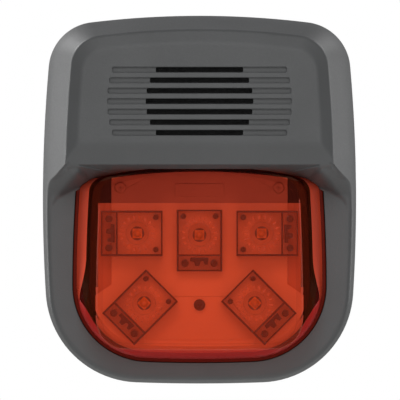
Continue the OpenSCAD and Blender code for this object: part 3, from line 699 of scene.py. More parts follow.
def finished(mesh: Mesh, name: str, shade: Shade, body: str, stands_for: Sequence[str],
             sharp: float = 38.0) -> None:
    """Makes a mesh a piece that rides on a body.

    Args:
        mesh: The mesh, in the frame's place.
        name: Name of the piece.
        shade: Its main finish.
        body: The body that it rides on.
        stands_for: CAD nodes that it replaces.
        sharp: Angle in degrees above which an edge stays sharp.
    """
    mesh.name = name
    mesh.polygons.foreach_set("use_smooth", [True] * len(mesh.polygons))
    mesh.set_sharp_from_angle(angle=radians(sharp))
    piece = linked(name, mesh)
    weight = piece.modifiers.new("even_normals", "WEIGHTED_NORMAL")
    weight.keep_sharp = True
    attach(piece, body)
    if stands_for:
        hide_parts(*stands_for)
    log.info("piece %s: %d faces on %s", name, len(mesh.polygons), body)


# ------------ patterns


class Pattern:
    """Geometry Nodes tree with named sizes, set out on one or more places."""

    def __init__(self, name: str) -> None:
        """Starts an empty tree.

        Args:
            name: Name of the tree.
        """
        self.tree = bpy.data.node_groups.new(name, "GeometryNodeTree")
        sockets = self.tree.interface
        sockets.new_socket("Geometry", in_out="INPUT", socket_type="NodeSocketGeometry")
        sockets.new_socket("Geometry", in_out="OUTPUT", socket_type="NodeSocketGeometry")
        self.entry = self.tree.nodes.new("NodeGroupInput")
        self.values: dict[str, float] = {}

    def size(self, name: str, value: float) -> Socket:
        """Adds a named size, given in millimetres.

        Args:
            name: Name of the input.
            value: The size.

        Returns:
            Its socket.
        """
        item = self.tree.interface.new_socket(name, in_out="INPUT", socket_type="NodeSocketFloat")
        self.values[item.identifier] = value / 1000
        return self.entry.outputs[name]

    def add(self, kind: str, inputs: dict[str | int, object], **settings: object) -> Socket:
        """Adds a node.

        Args:
            kind: Node type, without its "GeometryNode".
            inputs: Sockets by name or number, with a value, another socket or a list of sockets.
            settings: The node's own settings.

        Returns:
            Its first output.
        """
        node = self.tree.nodes.new(kind if kind.startswith("ShaderNode") else f"GeometryNode{kind}")
        for key, value in settings.items():
            setattr(node, key, value)
        for key, value in inputs.items():
            for part in value if isinstance(value, list) else [value]:
                if isinstance(part, Socket):
                    self.tree.links.new(part, node.inputs[key])
                else:
                    node.inputs[key].default_value = part
        return node.outputs[0]

    def math(self, operation: str, a: object, b: object = 0.0) -> Socket:
        """One step of arithmetic."""
        return self.add("ShaderNodeMath", {0: a, 1: b}, operation=operation)

    def times(self, a: object, b: object) -> Socket:
        """Product of two numbers."""
        return self.math("MULTIPLY", a, b)

    def ramp(self, value: object, start: float) -> Socket:
        """How far a share has come from start towards 1, and 0 before it."""
        return self.math("DIVIDE", self.math("MAXIMUM", self.math("SUBTRACT", value, start), 0.0), 1 - start)

    def xyz(self, x: object = 0.0, y: object = 0.0, z: object = 0.0) -> Socket:
        """Vector from three numbers."""
        return self.add("ShaderNodeCombineXYZ", {0: x, 1: y, 2: z})

    def here(self) -> tuple[Socket, ...]:
        """The coordinates of the point being worked on."""
        split = self.add("ShaderNodeSeparateXYZ", {0: self.add("InputPosition", {})}).node
        return tuple(split.outputs)

    def sweep(self, path: Socket, profile: Socket, **inputs: object) -> Socket:
        """Closed mesh of a profile swept along a path."""
        return self.add("CurveToMesh", {"Curve": path, "Profile Curve": profile, "Fill Caps": True, **inputs})

    def rod(self, start: object, end: object, steps: int, sides: int, scale: object) -> Socket:
        """Solid of revolution along a line, with its radius as a field.

        Args:
            start: One end.
            end: The other end.
            steps: Points along it.
            sides: Points round it.
            scale: The radius.

        Returns:
            The closed mesh.
        """
        line = self.add("CurvePrimitiveLine", {"Start": start, "End": end})
        line = self.add("ResampleCurve", {"Curve": line, "Count": steps})
        ring = self.add("CurvePrimitiveCircle", {"Resolution": sides, "Radius": 1.0})
        return self.sweep(line, ring, Scale=scale)

    def piece(self, part: Socket, name: str, seats: Sequence[Seat], shade: Shade,
              stands_for: Sequence[str] = (), body: str = "cover") -> None:
        """Sets the part out on its seats and makes the result a plain piece.

        Args:
            part: The part's geometry, with z out of its seat.
            name: Name of the piece.
            seats: Where it stands.
            shade: Its finish.
            stands_for: CAD nodes that it replaces.
            body: The body that it rides on.
        """
        angles = self.add("InputNamedAttribute", {"Name": "angles"}, data_type="FLOAT_VECTOR")
        spread = self.add("InstanceOnPoints",
                          {"Points": self.entry.outputs["Geometry"], "Instance": part, "Rotation": angles})
        real = self.add("RealizeInstances", {0: spread})
        dressed = self.add("SetMaterial", {"Geometry": real, "Material": shade.material()})
        self.tree.links.new(dressed, self.tree.nodes.new("NodeGroupOutput").inputs[0])
        mesh = bpy.data.meshes.new(f"{name}_seats")
        mesh.from_pydata([in_frame(seat.at) for seat in seats], [], [])
        field_of_angles = mesh.attributes.new("angles", "FLOAT_VECTOR", "POINT")
        field_of_angles.data.foreach_set("vector", [v for seat in seats for v in seat.angles()])
        holder = linked(f"{name}_seats", mesh)
        pattern = holder.modifiers.new("pattern", "NODES")
        pattern.node_group = self.tree
        for identifier, value in self.values.items():
            pattern[identifier] = value
        made = evaluated(holder)
        mend(made, False)
        finished(made, name, shade, body, stands_for)


def bezier(a: Sequence[float], b: Sequence[float], c: Sequence[float], t: float) -> np.ndarray:
    """Point at t on the curve that leaves a and meets c, both towards b."""
    a, b, c = map(np.asarray, (a, b, c))
    return (1 - t) ** 2 * a + 2 * t * (1 - t) * b + t ** 2 * c


def shrink(loop: Loop, d: float) -> list[Plan]:
    """Moves each side of a counterclockwise loop inwards by d.

    Args:
        loop: Corners of the loop.
        d: The distance.

    Returns:
        The moved corners.
    """
    p = np.asarray(loop, dtype=float)
    before, after = p - np.roll(p, 1, axis=0), np.roll(p, -1, axis=0) - p
    before /= np.linalg.norm(before, axis=1)[:, None]
    after /= np.linalg.norm(after, axis=1)[:, None]
    left = np.column_stack([-before[:, 1], before[:, 0]]) + np.column_stack([-after[:, 1], after[:, 0]])
    # at sharp corners the reach nears 0, and a limit keeps them from flying off
    reach = np.maximum(1 + (before * after).sum(axis=1), 0.2)
    return [tuple(q) for q in p + left * (d / reach)[:, None]]


def rectangle(a0: float, b0: float, a1: float, b1: float) -> list[Plan]:
    """Corners of a rectangle, counterclockwise."""
    return [(a0, b0), (a1, b0), (a1, b1), (a0, b1)]


def circle(centre: Plan, r: float, steps: int = 24) -> list[Plan]:
    """Corners of a circle, counterclockwise."""
    angles = [2 * pi * i / steps for i in range(steps)]
    return [(centre[0] + r * cos(a), centre[1] + r * sin(a)) for a in angles]


def inside(points: np.ndarray, loop: Loop) -> np.ndarray:
    """Whether plan points lie inside a closed loop.

    Args:
        points: The points, one a row.
        loop: Corners of the loop.

    Returns:
        One truth value for each point.
    """
    ring = np.asarray(loop)
    after = np.roll(ring, -1, axis=0)
    x, y = points[:, :1], points[:, 1:]
    crosses = (ring[:, 1] > y) != (after[:, 1] > y)
    rise = np.where(after[:, 1] == ring[:, 1], 1e-12, after[:, 1] - ring[:, 1])
    at = (after[:, 0] - ring[:, 0]) * (y - ring[:, 1]) / rise + ring[:, 0]
    return (crosses & (x < at)).sum(axis=1) % 2 == 1


def fill(outer: Loop, holes: Sequence[Loop],
         cuts: Sequence[Loop]) -> tuple[np.ndarray, list[tuple[int, ...]]]:
    """Fills a plan outline with triangles, round its holes and along its cuts.

    Args:
        outer: Corners of the outline.
        holes: Corners of each hole.
        cuts: Segments along which edges must run.

    Returns:
        The plan points and the triangles between them.
    """
    points: list[Plan] = []
    edges: list[tuple[int, int]] = []
    for loop in [outer, *holes]:
        first = len(points)
        points.extend(loop)
        edges.extend((first + i, first + (i + 1) % len(loop)) for i in range(len(loop)))
    for a, b in cuts:
        edges.append((len(points), len(points) + 1))
        points.extend([a, b])
    found = delaunay_2d_cdt([Vector(p) for p in points], edges, [], 0, FILL_WELD)
    made = np.array([tuple(v) for v in found[0]])
    triangles = np.array(found[2])
    middle = made[triangles].mean(axis=1)
    keep = inside(middle, outer)
    for hole in holes:
        keep &= ~inside(middle, hole)
    used, numbers = np.unique(triangles[keep], return_inverse=True)
    return made[used], [tuple(int(i) for i in t) for t in numbers.reshape(-1, 3)]


# ------------ outlines


@dataclass(frozen=True)
class Arc:
    """Circle arc from the angle start to the angle end."""

    centre: Plan
    radius: float
    start: float
    end: float

    def at(self, t: float) -> Plan:
        """Point at the share t of the arc."""
        a = lerp(self.start, self.end, t)
        return self.centre[0] + self.radius * cos(a), self.centre[1] + self.radius * sin(a)


@dataclass(frozen=True)
class Outline:
    """Crowned outline with large soft corners, the same on both sides, in millimetres.

    Attributes:
        width: Full width.
        top: Highest point.
        bottom: Lowest point.
        upper_r: Radius of the upper corners.
        lower_r: Radius of the lower corners.
        side_r: Radius of the sides.
        top_crown: How far the top bulges.
        bottom_crown: How far the bottom bulges.
        flare: How far the lower corners stand out beyond the upper ones.
    """

    width: float
    top: float
    bottom: float
    upper_r: float
    lower_r: float
    side_r: float = 560.0
    top_crown: float = 2.3
    bottom_crown: float = 0.4
    flare: float = 1.1

    def inset(self, d: float) -> Outline:
        """The outline moved inwards by d."""
        return replace(self, width=self.width - 2 * d, top=self.top - d, bottom=self.bottom + d,
                       upper_r=self.upper_r - d, lower_r=self.lower_r - d)

    def towards(self, other: Outline, f: float) -> Outline:
        """The outline at the share f of the way to another."""
        return Outline(*(lerp(a, b, f) for a, b in zip(astuple(self), astuple(other))))

    def arcs(self) -> list[Arc]:
        """Arcs of the right half, from the lowest point up to the highest.

        Returns:
            The five arcs.
        """
        rt, rb = self.upper_r, self.lower_r
        ty = self.top - self.top_crown - rt
        by = self.bottom + self.bottom_crown + rb
        c1, r1 = np.array([self.flare - rb, by]), self.side_r - rb
        c2, r2 = np.array([-rt, ty]), self.side_r - rt
        d = float(np.linalg.norm(c2 - c1))
        u = (c2 - c1) / d
        along = (d * d + r1 * r1 - r2 * r2) / (2 * d)
        off = sqrt(r1 * r1 - along * along)
        side = c1 + along * u + off * np.array([-u[1], u[0]])
        shift = self.width / 2 - (side[0] + self.side_r)
        side = np.array([side[0] + shift, side[1]])
        upper = np.array([shift - rt, ty])
        lower = np.array([shift + self.flare - rb, by])

        def crowned(cx: float, r: float, crown: float) -> float:
            """Radius of the flat arc that joins two corners."""
            return (cx * cx + (crown + r) ** 2 - r * r) / (2 * crown)

        def angle(a: np.ndarray, b: np.ndarray) -> float:
            """Direction from a to b."""
            return atan2(b[1] - a[1], b[0] - a[0])

        top_r = crowned(upper[0], rt, self.top_crown)
        low_r = crowned(lower[0], rb, self.bottom_crown)
        top = np.array([0, self.top - top_r])
        low = np.array([0, self.bottom + low_r])
        joints = [angle(low, lower), angle(side, lower), angle(side, upper), angle(top, upper)]
        ends = [-pi / 2, *joints, pi / 2]
        centres = [low, lower, side, upper, top]
        radii = [low_r, rb, self.side_r, rt, top_r]
        return [Arc((float(c[0]), float(c[1])), r, start, end)
                for c, r, start, end in zip(centres, radii, ends, ends[1:])]

    def on_arc(self, u: float) -> tuple[Arc, float]:
        """Arc on which u lies, and the share of that arc at u."""
        k = min(int(u), 4)
        return self.arcs()[k], u - k

    def at(self, u: float) -> Plan:
        """Point at u: 0 is the lowest point, 5 the highest, and each whole step is one arc."""
        arc, t = self.on_arc(u)
        return arc.at(t)

    def inward(self, u: float) -> Plan:
        """Direction into the outline at u.

        Args:
            u: Station on the outline.

        Returns:
            The direction, one long.
        """
        arc, t = self.on_arc(u)
        x, y = arc.at(t)
        return (arc.centre[0] - x) / arc.radius, (arc.centre[1] - y) / arc.radius

    def x_at(self, y: float) -> float:
        """Half width at the height y.

        Args:
            y: The height.

        Returns:
            Half the width.
        """
        side, upper, crown = self.arcs()[2:]
        arc = crown if y > crown.at(0)[1] else upper if y > upper.at(0)[1] else side
        return arc.centre[0] + sqrt(max(arc.radius ** 2 - (y - arc.centre[1]) ** 2, 0))

    def ring(self, stations: Sequence[float]) -> list[Plan]:
        """Whole outline through its right half's stations, counterclockwise from its lowest point."""
        return both_halves([self.at(u) for u in stations])


def both_halves(half: Ring) -> list[tuple[float, ...]]:
    """Closes a right half, from its lowest point to its highest, with its mirror image."""
    return [tuple(p) for p in half] + [(-p[0], *p[1:]) for p in reversed(half[1:-1])]


def stations(*steps: int) -> list[float]:
    """Even stations along the five arcs of an outline's right half.

    Args:
        steps: Steps along each arc, from the bottom up.

    Returns:
        Values of u, from 0 to 5.
    """
    out: list[float] = []
    for k, n in enumerate(steps):
        out.extend(k + i / n for i in range(n))
    return out + [5.0]


@dataclass(frozen=True)
class Buttress:
    """Web that runs from each lower corner of the hood down to the frame's edge, in millimetres.

    Attributes:
        toe: Lowest point of its back.
        fall: Direction in which its back rises.
        run: Length of its back.
        rise: Height of its back's upper end over the toe.
        hollow: How hollow its back is; 1 is straight.
        edge: Point on its inner edge.
        across: Direction across the edge, outwards.
        steep: Slope of its inner side.
        toe_z: Distance of its toe from the wall.
        top: Greatest distance of its back from the wall.
        offsets: How far each of its rows of points lies from the edge, outwards.
        along: First and last place along a row, and the step between its points.
    """

    toe: Plan = (55.3, 1.7)
    fall: Plan = (-0.52, 0.86)
    run: float = 12.7
    rise: float = 21.0
    hollow: float = 1.6
    edge: Plan = (45.1, 8.6)
    across: Plan = (0.763, 0.645)
    steep: float = 3.0
    toe_z: float = 32.0
    top: float = 52.0
    offsets: tuple[float, ...] = (-5.5, -4.6, -3.8, -3.0, -2.3, -1.6, -1.0, -0.5, 0.0,
                                  0.5, 1.1, 1.8, 2.6, 3.4, 4.2, 5.0, 6.0, 7.0)
    along: Point = (-4.0, 18.0, 0.6)

    def z(self, x: float, y: float) -> float:
        """Distance from the wall of its surface.

        Args:
            x: Distance to one side.
            y: The height.

        Returns:
            Millimetres from the wall.
        """
        x = abs(x)
        s = max((x - self.toe[0]) * self.fall[0] + (y - self.toe[1]) * self.fall[1], 0)
        back = -soft_max(-self.toe_z - self.rise * (s / self.run) ** self.hollow, -self.top, 2.5)
        d = (x - self.edge[0]) * self.across[0] + (y - self.edge[1]) * self.across[1]
        return back - self.steep * soft_max(-d, 0.0, 1.4)

    def rows(self) -> list[np.ndarray]:
        """Rows of plan points along its inner edge, on the right side."""
        (x, y), (a, b), t = self.edge, self.across, np.arange(*self.along)
        return [np.column_stack([x + d * a + t * b, y + d * b - t * a]) for d in self.offsets]


@dataclass(frozen=True)
class Profile:
    """Side profile of the cover's front: how far out of the wall each height stands."""

    heights: tuple[float, ...]
    depths: tuple[float, ...]
    web: Buttress | None = None

    def z(self, y: float, x: float = 0.0) -> float:
        """Distance from the wall at the height y, and x to one side."""
        z = float(np.interp(y, self.heights, self.depths))
        return soft_max(z, self.web.z(x, y), 1.6) if self.web else z


def rounded(a: Plan, b: Plan, c: Plan, r: float, n: int) -> list[Plan]:
    """Points that round the corner b of the way a-b-c.

    Args:
        a: Point before the corner.
        b: The corner.
        c: Point after it.
        r: Radius.
        n: Steps.

    Returns:
        The points of the arc.
    """
    a, b, c = map(np.asarray, (a, b, c))
    u = (a - b) / np.linalg.norm(a - b)
    v = (c - b) / np.linalg.norm(c - b)
    half = acos(float(u @ v)) / 2
    mid = (u + v) / np.linalg.norm(u + v)
    centre = b + mid * r / sin(half)
    first = b + u * r / tan(half) - centre
    last = b + v * r / tan(half) - centre
    start = atan2(first[1], first[0])
    turn = (atan2(last[1], last[0]) - start + 3 * pi) % (2 * pi) - pi
    return [tuple(centre + r * np.array([cos(start + turn * i / n), sin(start + turn * i / n)]))
            for i in range(n + 1)]


# ------------ cover


@dataclass
class FrontHousing:
    """Moulded cover: a soft-cornered shell whose upper half swells into the horn's hood.

    Sizes are in millimetres. The hood's front is flat, with a shallow bevel round it, and its
    underside slopes back to the frame round the lens.
    """

    body: Outline = Outline(116, 68, -68, 18, 35)
    side_inset: float = 9.2
    top_inset: float = 6.2
    hood_corner_r: float = 11.5
    bevel_w: float = 4.2
    bevel_h: float = 2.0
    face_corner_r: float = 8.5
    skirt_z: float = 3.0
    straight_z: float = 21.0
    chamfer_z: float = 36.0
    chamfer_start: float = 0.35
    front_z: float = 56.0
    frame_z: float = 31.6
    wall: float = 2.4
    lip: Plan = (12.0, 53.4)
    face_foot_y: float = 20.2
    ramp_angle: float = 74.0
    ramp_fillet: float = 7.0
    lip_round: float = 2.0
    foot_round: float = 9.0
    frame_edge: float = 1.7
    hood_edge: float = 0.9
    crease_r: float = 0.8
    slots: int = 7
    slot_pitch: float = 3.8
    slot_h: float = 1.9
    grille_y: float = 35.7
    grille_r: float = 19.5
    groove_half: float = 33.3
    groove_d: float = 1.2
    groove_end_r: float = 37.0
    groove_edge: float = 0.22
    groove_corner_r: float = 0.45
    back_tuck: float = 0.6
    least_step: float = 0.004
    same_height: float = 0.0002
    web: Buttress = Buttress()
    lens: StrobeLens = field(default_factory=lambda: StrobeLens())
    form: Form = field(default_factory=Form)

    @property
    def crease_z(self) -> float:
        """Distance from the wall to the hood's crisp edge."""
        return self.front_z - self.bevel_h

    @property
    def hood(self) -> Outline:
        """Outline of the hood's crisp edge.

        Returns:
            The outline.
        """
        b = self.body
        return Outline(b.width - 2 * self.side_inset, b.top - self.top_inset, b.bottom + self.side_inset,
                       self.hood_corner_r, b.lower_r - self.side_inset)

    @property
    def front(self) -> Outline:
        """Outline of the hood's flat front.

        Returns:
            The outline.
        """
        h = self.hood
        return Outline(h.width - 2 * self.bevel_w, h.top - self.bevel_w - 0.9, h.bottom + self.bevel_w,
                       self.face_corner_r, h.lower_r - self.bevel_w)

    def share(self, z: float) -> float:
        """Share of the way from the cover's outline to the hood's at a distance from the wall.

        Args:
            z: The distance.

        Returns:
            The share.
        """
        low = 0.03
        if z <= self.straight_z:
            return low * (z - self.skirt_z) / (self.straight_z - self.skirt_z)
        if z <= self.chamfer_z:
            f = (z - self.straight_z) / (self.chamfer_z - self.straight_z)
            return low + (self.chamfer_start - low) * f ** 1.5
        return lerp(self.chamfer_start, 1, (z - self.chamfer_z) / (self.crease_z - self.chamfer_z))

    def profile(self, d: float = 0.0) -> Profile:
        """Side profile of the front, moved d inwards.

        Args:
            d: Distance moved.

        Returns:
            The profile.
        """
        slope = radians(self.ramp_angle)
        foot = (self.lip[0] - (self.lip[1] - self.frame_z) / tan(slope), self.frame_z)
        face_foot = (self.face_foot_y, self.front_z)
        tilt = atan2(face_foot[1] - self.lip[1], face_foot[0] - self.lip[0])
        beyond = 20
        # each corner moves along the bisector of the two faces that meet there
        corners = [(self.body.bottom - beyond, self.frame_z - d)]
        for corner, before, after in ((foot, 0.0, slope), (self.lip, slope, tilt), (face_foot, tilt, 0.0)):
            bend = (after - before) / 2
            lean = (after + before) / 2
            corners.append((corner[0] + d * sin(lean) / cos(bend),
                            corner[1] - d * cos(lean) / cos(bend)))
        corners.append((self.body.top + beyond, self.front_z - d))
        line = corners[:1]
        rounds = ((self.ramp_fillet, 10), (max(self.lip_round - d, 0.3), 6), (self.foot_round, 6))
        for k, (r, n) in enumerate(rounds):
            line.extend(rounded(*corners[k:k + 3], r, n))
        line.append(corners[-1])
        return Profile(*(tuple(p[k] for p in line) for k in (0, 1)), None if d else self.web)

    def side_point(self, u: float, s: float, d: float) -> np.ndarray:
        """Point of the cover's side before its front is cut.

        Args:
            u: Station along the outline.
            s: 0 at the back edge, 1 at the hood's crisp edge, 2 at its flat front.
            d: Distance moved inwards.

        Returns:
            The point.
        """
        if s <= 1:
            z = lerp(self.skirt_z, self.crease_z, s)
            shape = self.body.towards(self.hood, self.share(z))
        else:
            z = lerp(self.crease_z, self.front_z, s - 1)
            shape = self.hood.towards(self.front, s - 1)
        x, y = shape.inset(d).at(u)
        return np.array([x, y, z - d * smooth_step(s, 0.6, 1.0)])

    def cut(self, u: float, d: float, profile: Profile) -> float:
        """Share s at which the side meets the front at station u.

        Args:
            u: Station along the outline.
            d: Distance moved inwards.
            profile: Side profile of the front.

        Returns:
            The share s.
        """
        def below(s: float, spare: float = 0.0) -> bool:
            """Whether the side is still behind the front at s."""
            x, y, z = self.side_point(u, s, d)
            return z < profile.z(y, x) + spare

        front = 2.0
        return front if below(front, 1e-9) else halve(0.0, front, 34, below)[1]

    def column(self, u: float, d: float, profile: Profile) -> list[np.ndarray]:
        """One column of points up the side, over the edges and onto the front.

        Args:
            u: Station along the outline.
            d: Distance moved inwards.
            profile: Side profile of the front.

        Returns:
            As many points for every station; the last lies on the front.
        """
        s_cut = self.cut(u, d, profile)
        side_l = self.crease_z - self.skirt_z
        bevel_l = hypot(self.bevel_w, self.bevel_h)
        corner = self.side_point(u, s_cut, d)
        on_hood = smooth_step(corner[2], self.frame_z + 1, self.frame_z + 8)
        edge = lerp(self.frame_edge, self.hood_edge, on_hood)
        before, after = self.crease_r / side_l, self.crease_r / bevel_l
        steps, turns = 16, 4
        rise = [0.0, 0.012] + [lerp(0.05, 1, i / steps) for i in range(steps + 1)]
        if s_cut <= 1 - before / 2:
            end = s_cut - edge / side_l
            points = [self.side_point(u, f * end, d) for f in rise]
            points += [self.side_point(u, end, d)] * (turns + 1)
        else:
            after = min(after, 0.45 * max(s_cut - 1, 0.02))
            points = [self.side_point(u, f * (1 - before), d) for f in rise]
            a, c = points[-1], self.side_point(u, 1 + after, d)
            points += [bezier(a, self.side_point(u, 1, d), c, i / turns) for i in range(1, turns + 1)]
            end = max(1 + after, s_cut - edge / bevel_l)
            points.append(self.side_point(u, end, d))
        inward = self.body.inward(u)
        x, y = (c + edge * way for c, way in zip(corner, inward))
        landing = np.array([x, y, profile.z(y, x)])
        points += [bezier(points[-1], corner, landing, i / turns) for i in range(1, turns + 1)]
        if d == 0:
            points[0] = points[0] + self.back_tuck * np.array([*inward, 0])
        return points

    def stations(self, profile: Profile) -> list[float]:
        """Stations of the columns, with one wherever the profile bends.

        Args:
            profile: Side profile of the front.

        Returns:
            The stations, in order.
        """
        exact = [halve(2.0, 3.0, 30, lambda u, y=y: self.column(u, 0, profile)[-1][1] < y)[1]
                 for y in profile.heights[1:-1]]
        # stations that all but meet would leave slivers
        merged: list[float] = []
        for u in sorted([*stations(6, 22, 36, 22, 10), *exact]):
            if not merged or u - merged[-1] >= self.least_step:
                merged.append(u)
            elif u in exact:
                merged[-1] = u
        return merged

    def lens_gap(self, profile: Profile) -> list[Plan]:
        """Plan of the opening for the lens, where the frame and the hood's underside end.

        Args:
            profile: Side profile of the front.

        Returns:
            The corners.
        """
        shape = self.lens.opening
        half = [shape.at(u) for u in stations(3, 22, 1, 1, 1) if u <= 2]
        foot = [y for y in profile.heights if profile.z(y) <= self.lens.rim_z + 1e-6 and y > half[-1][1]]
        start = half[-1][1]
        ledge = foot[-1] if foot else 0.0
        for i in range(1, 13):
            y = lerp(start, ledge, i / 12)
            half.append((shape.x_at(y), y))
        top = self.lens.roof_height(profile)
        bends = [y for y in profile.heights if ledge < y < top]
        for y in sorted({*bends, *(lerp(ledge, top, i / 10) for i in range(1, 10)), top}):
            x = half[-1][0]
            for _ in range(12):
                x = self.lens.half_width(y, profile.z(y, x)) + self.lens.gap
            half.append((min(x, half[-1][0]), y))
        x_top = half[-1][0]
        half += [(x_top * (1 - i / 8), top) for i in range(1, 9)]
        return both_halves(half)

    def grooves(self) -> list[tuple[float, float, float]]:
        """Height, half length and open half length of each groove of the grille.

        Returns:
            Three sizes for each groove.
        """
        out = []
        for i in range(self.slots):
            y = (i - (self.slots - 1) / 2) * self.slot_pitch
            half = self.groove_half - (self.groove_end_r - sqrt(self.groove_end_r ** 2 - y * y))
            out.append((self.grille_y + y, half, sqrt(self.grille_r ** 2 - y * y)))
        return out

    def bar(self, y: float, half: float, grow: float = 0.0) -> list[Plan]:
        """Plan of one groove or open slot, with barely rounded ends.

        Args:
            y: Height of its middle.
            half: Half its length.
            grow: How much it is widened all round.

        Returns:
            The corners.
        """
        r = self.groove_corner_r
        h, half = self.slot_h / 2 + grow, half + grow
        corners = [(half - r, y - h + r, -90), (half - r, y + h - r, 0),
                   (-half + r, y + h - r, 90), (-half + r, y - h + r, 180)]
        turns = [(cx, cy, radians(a + 30 * k)) for cx, cy, a in corners for k in range(4)]
        return [(cx + r * cos(a), cy + r * sin(a)) for cx, cy, a in turns]

    def cap(self, loop: Ring, holes: Sequence[Loop], profile: Profile, rows: Sequence[float]) -> None:
        """Closes the front inside the last row of the columns.

        Args:
            loop: The last row, as points.
            holes: Plans of the openings.
            profile: Side profile that the front follows.
            rows: Heights along which edges must run.
        """
        outer = [(float(p[0]), float(p[1])) for p in loop]
        gap = holes[0]
        cuts = []
        for y in rows:
            right, inner = (max((p[0] for p in line if abs(p[1] - y) < self.same_height), default=None)
                            for line in (outer, gap))
            if right is not None:
                cuts += [((-right, y), (right, y))] if inner is None else [
                    ((inner, y), (right, y)), ((-right, y), (-inner, y))]
        if profile.web:
            for row in profile.web.rows():
                # rows keep clear of the outlines' edges
                clear = ~inside(row - 0.3, gap)
                for shift in ((0.0, 0.0), (0.3, 0.0), (0.0, 0.3), (0.0, -0.3)):
                    clear &= inside(row + shift, outer)
                for (x0, y0), (x1, y1), *both in zip(row, row[1:], clear, clear[1:]):
                    if all(both):
                        cuts += [((x0, y0), (x1, y1)), ((-x0, y0), (-x1, y1))]
        self.form.close(outer, lambda x, y: (x, y, profile.z(y, x)), 0, holes, cuts)

    def skin(self, d: float, us: Sequence[float], gap: Loop, slots: Sequence[Loop]) -> list[list[int]]:
        """Builds the outer or the inner skin.

        Args:
            d: 0 for the outer skin, the wall's thickness for the inner one.
            us: Stations of the columns.
            gap: Plan of the opening for the lens.
            slots: Plans of the openings in the hood's front.

        Returns:
            The rows of the side, from the back edge on.
        """
        profile = self.profile(d)
        columns = [self.column(u, d, profile) for u in us]
        rings = [both_halves([tuple(c[k]) for c in columns]) for k in range(len(columns[0]))]
        rows = self.form.loft(rings)
        self.cap(rings[-1], [gap, *slots], profile, () if d else profile.heights[1:-1])
        return rows

    def grille(self) -> list[list[Plan]]:
        """Builds the grooves' walls and floors.

        Returns:
            Plans of the grooves' upper edges, for the front to leave open.
        """
        rims = []
        top, floor = self.front_z, self.front_z - self.groove_d
        for y, half, open_half in self.grooves():
            rim, groove, slot = self.bar(y, half, self.groove_edge), self.bar(y, half), self.bar(y, open_half)
            rims.append(rim)
            levels = [(rim, top), (groove, top - self.groove_edge), (groove, floor)]
            self.form.loft([[(a, b, z) for a, b in plan] for plan, z in levels])
            self.form.close(groove, lambda a, b: (a, b, floor), 0, [slot])
            self.form.loft([[(a, b, z) for a, b in slot] for z in (floor, top - self.wall)])
        return rims

    def build(self) -> None:
        """Makes the cover's shell, with the grille's grooves, the walls round the lens's opening and a bore
        through its bottom.
        """
        profile, inner = self.profile(), self.profile(self.wall)
        us = self.stations(profile)
        gap = self.lens_gap(profile)
        rims = self.grille()
        slots = [self.bar(y, open_half) for y, _, open_half in self.grooves()]
        outer_rows = self.skin(0, us, gap, rims)
        inner_rows = self.skin(self.wall, us, gap, slots)
        self.form.strip(outer_rows[0], inner_rows[0])
        walls = [(x, y, profile.z(y, x), inner.z(y)) for x, y in gap]
        self.form.loft([[(x, y, high) for x, y, high, _ in walls],
                        [(x, y, min(low, high - 1)) for x, y, high, low in walls]])
        bore = Form()
        bore.prism(circle((0, 9), 3.15, 32), -72, -61.5, 0.4, place=lambda a, b, h: (a, h, b))
        self.form.build("housing_shell", [Shade.HOUSING], "cover", ["front_housing"], bores=[bore])


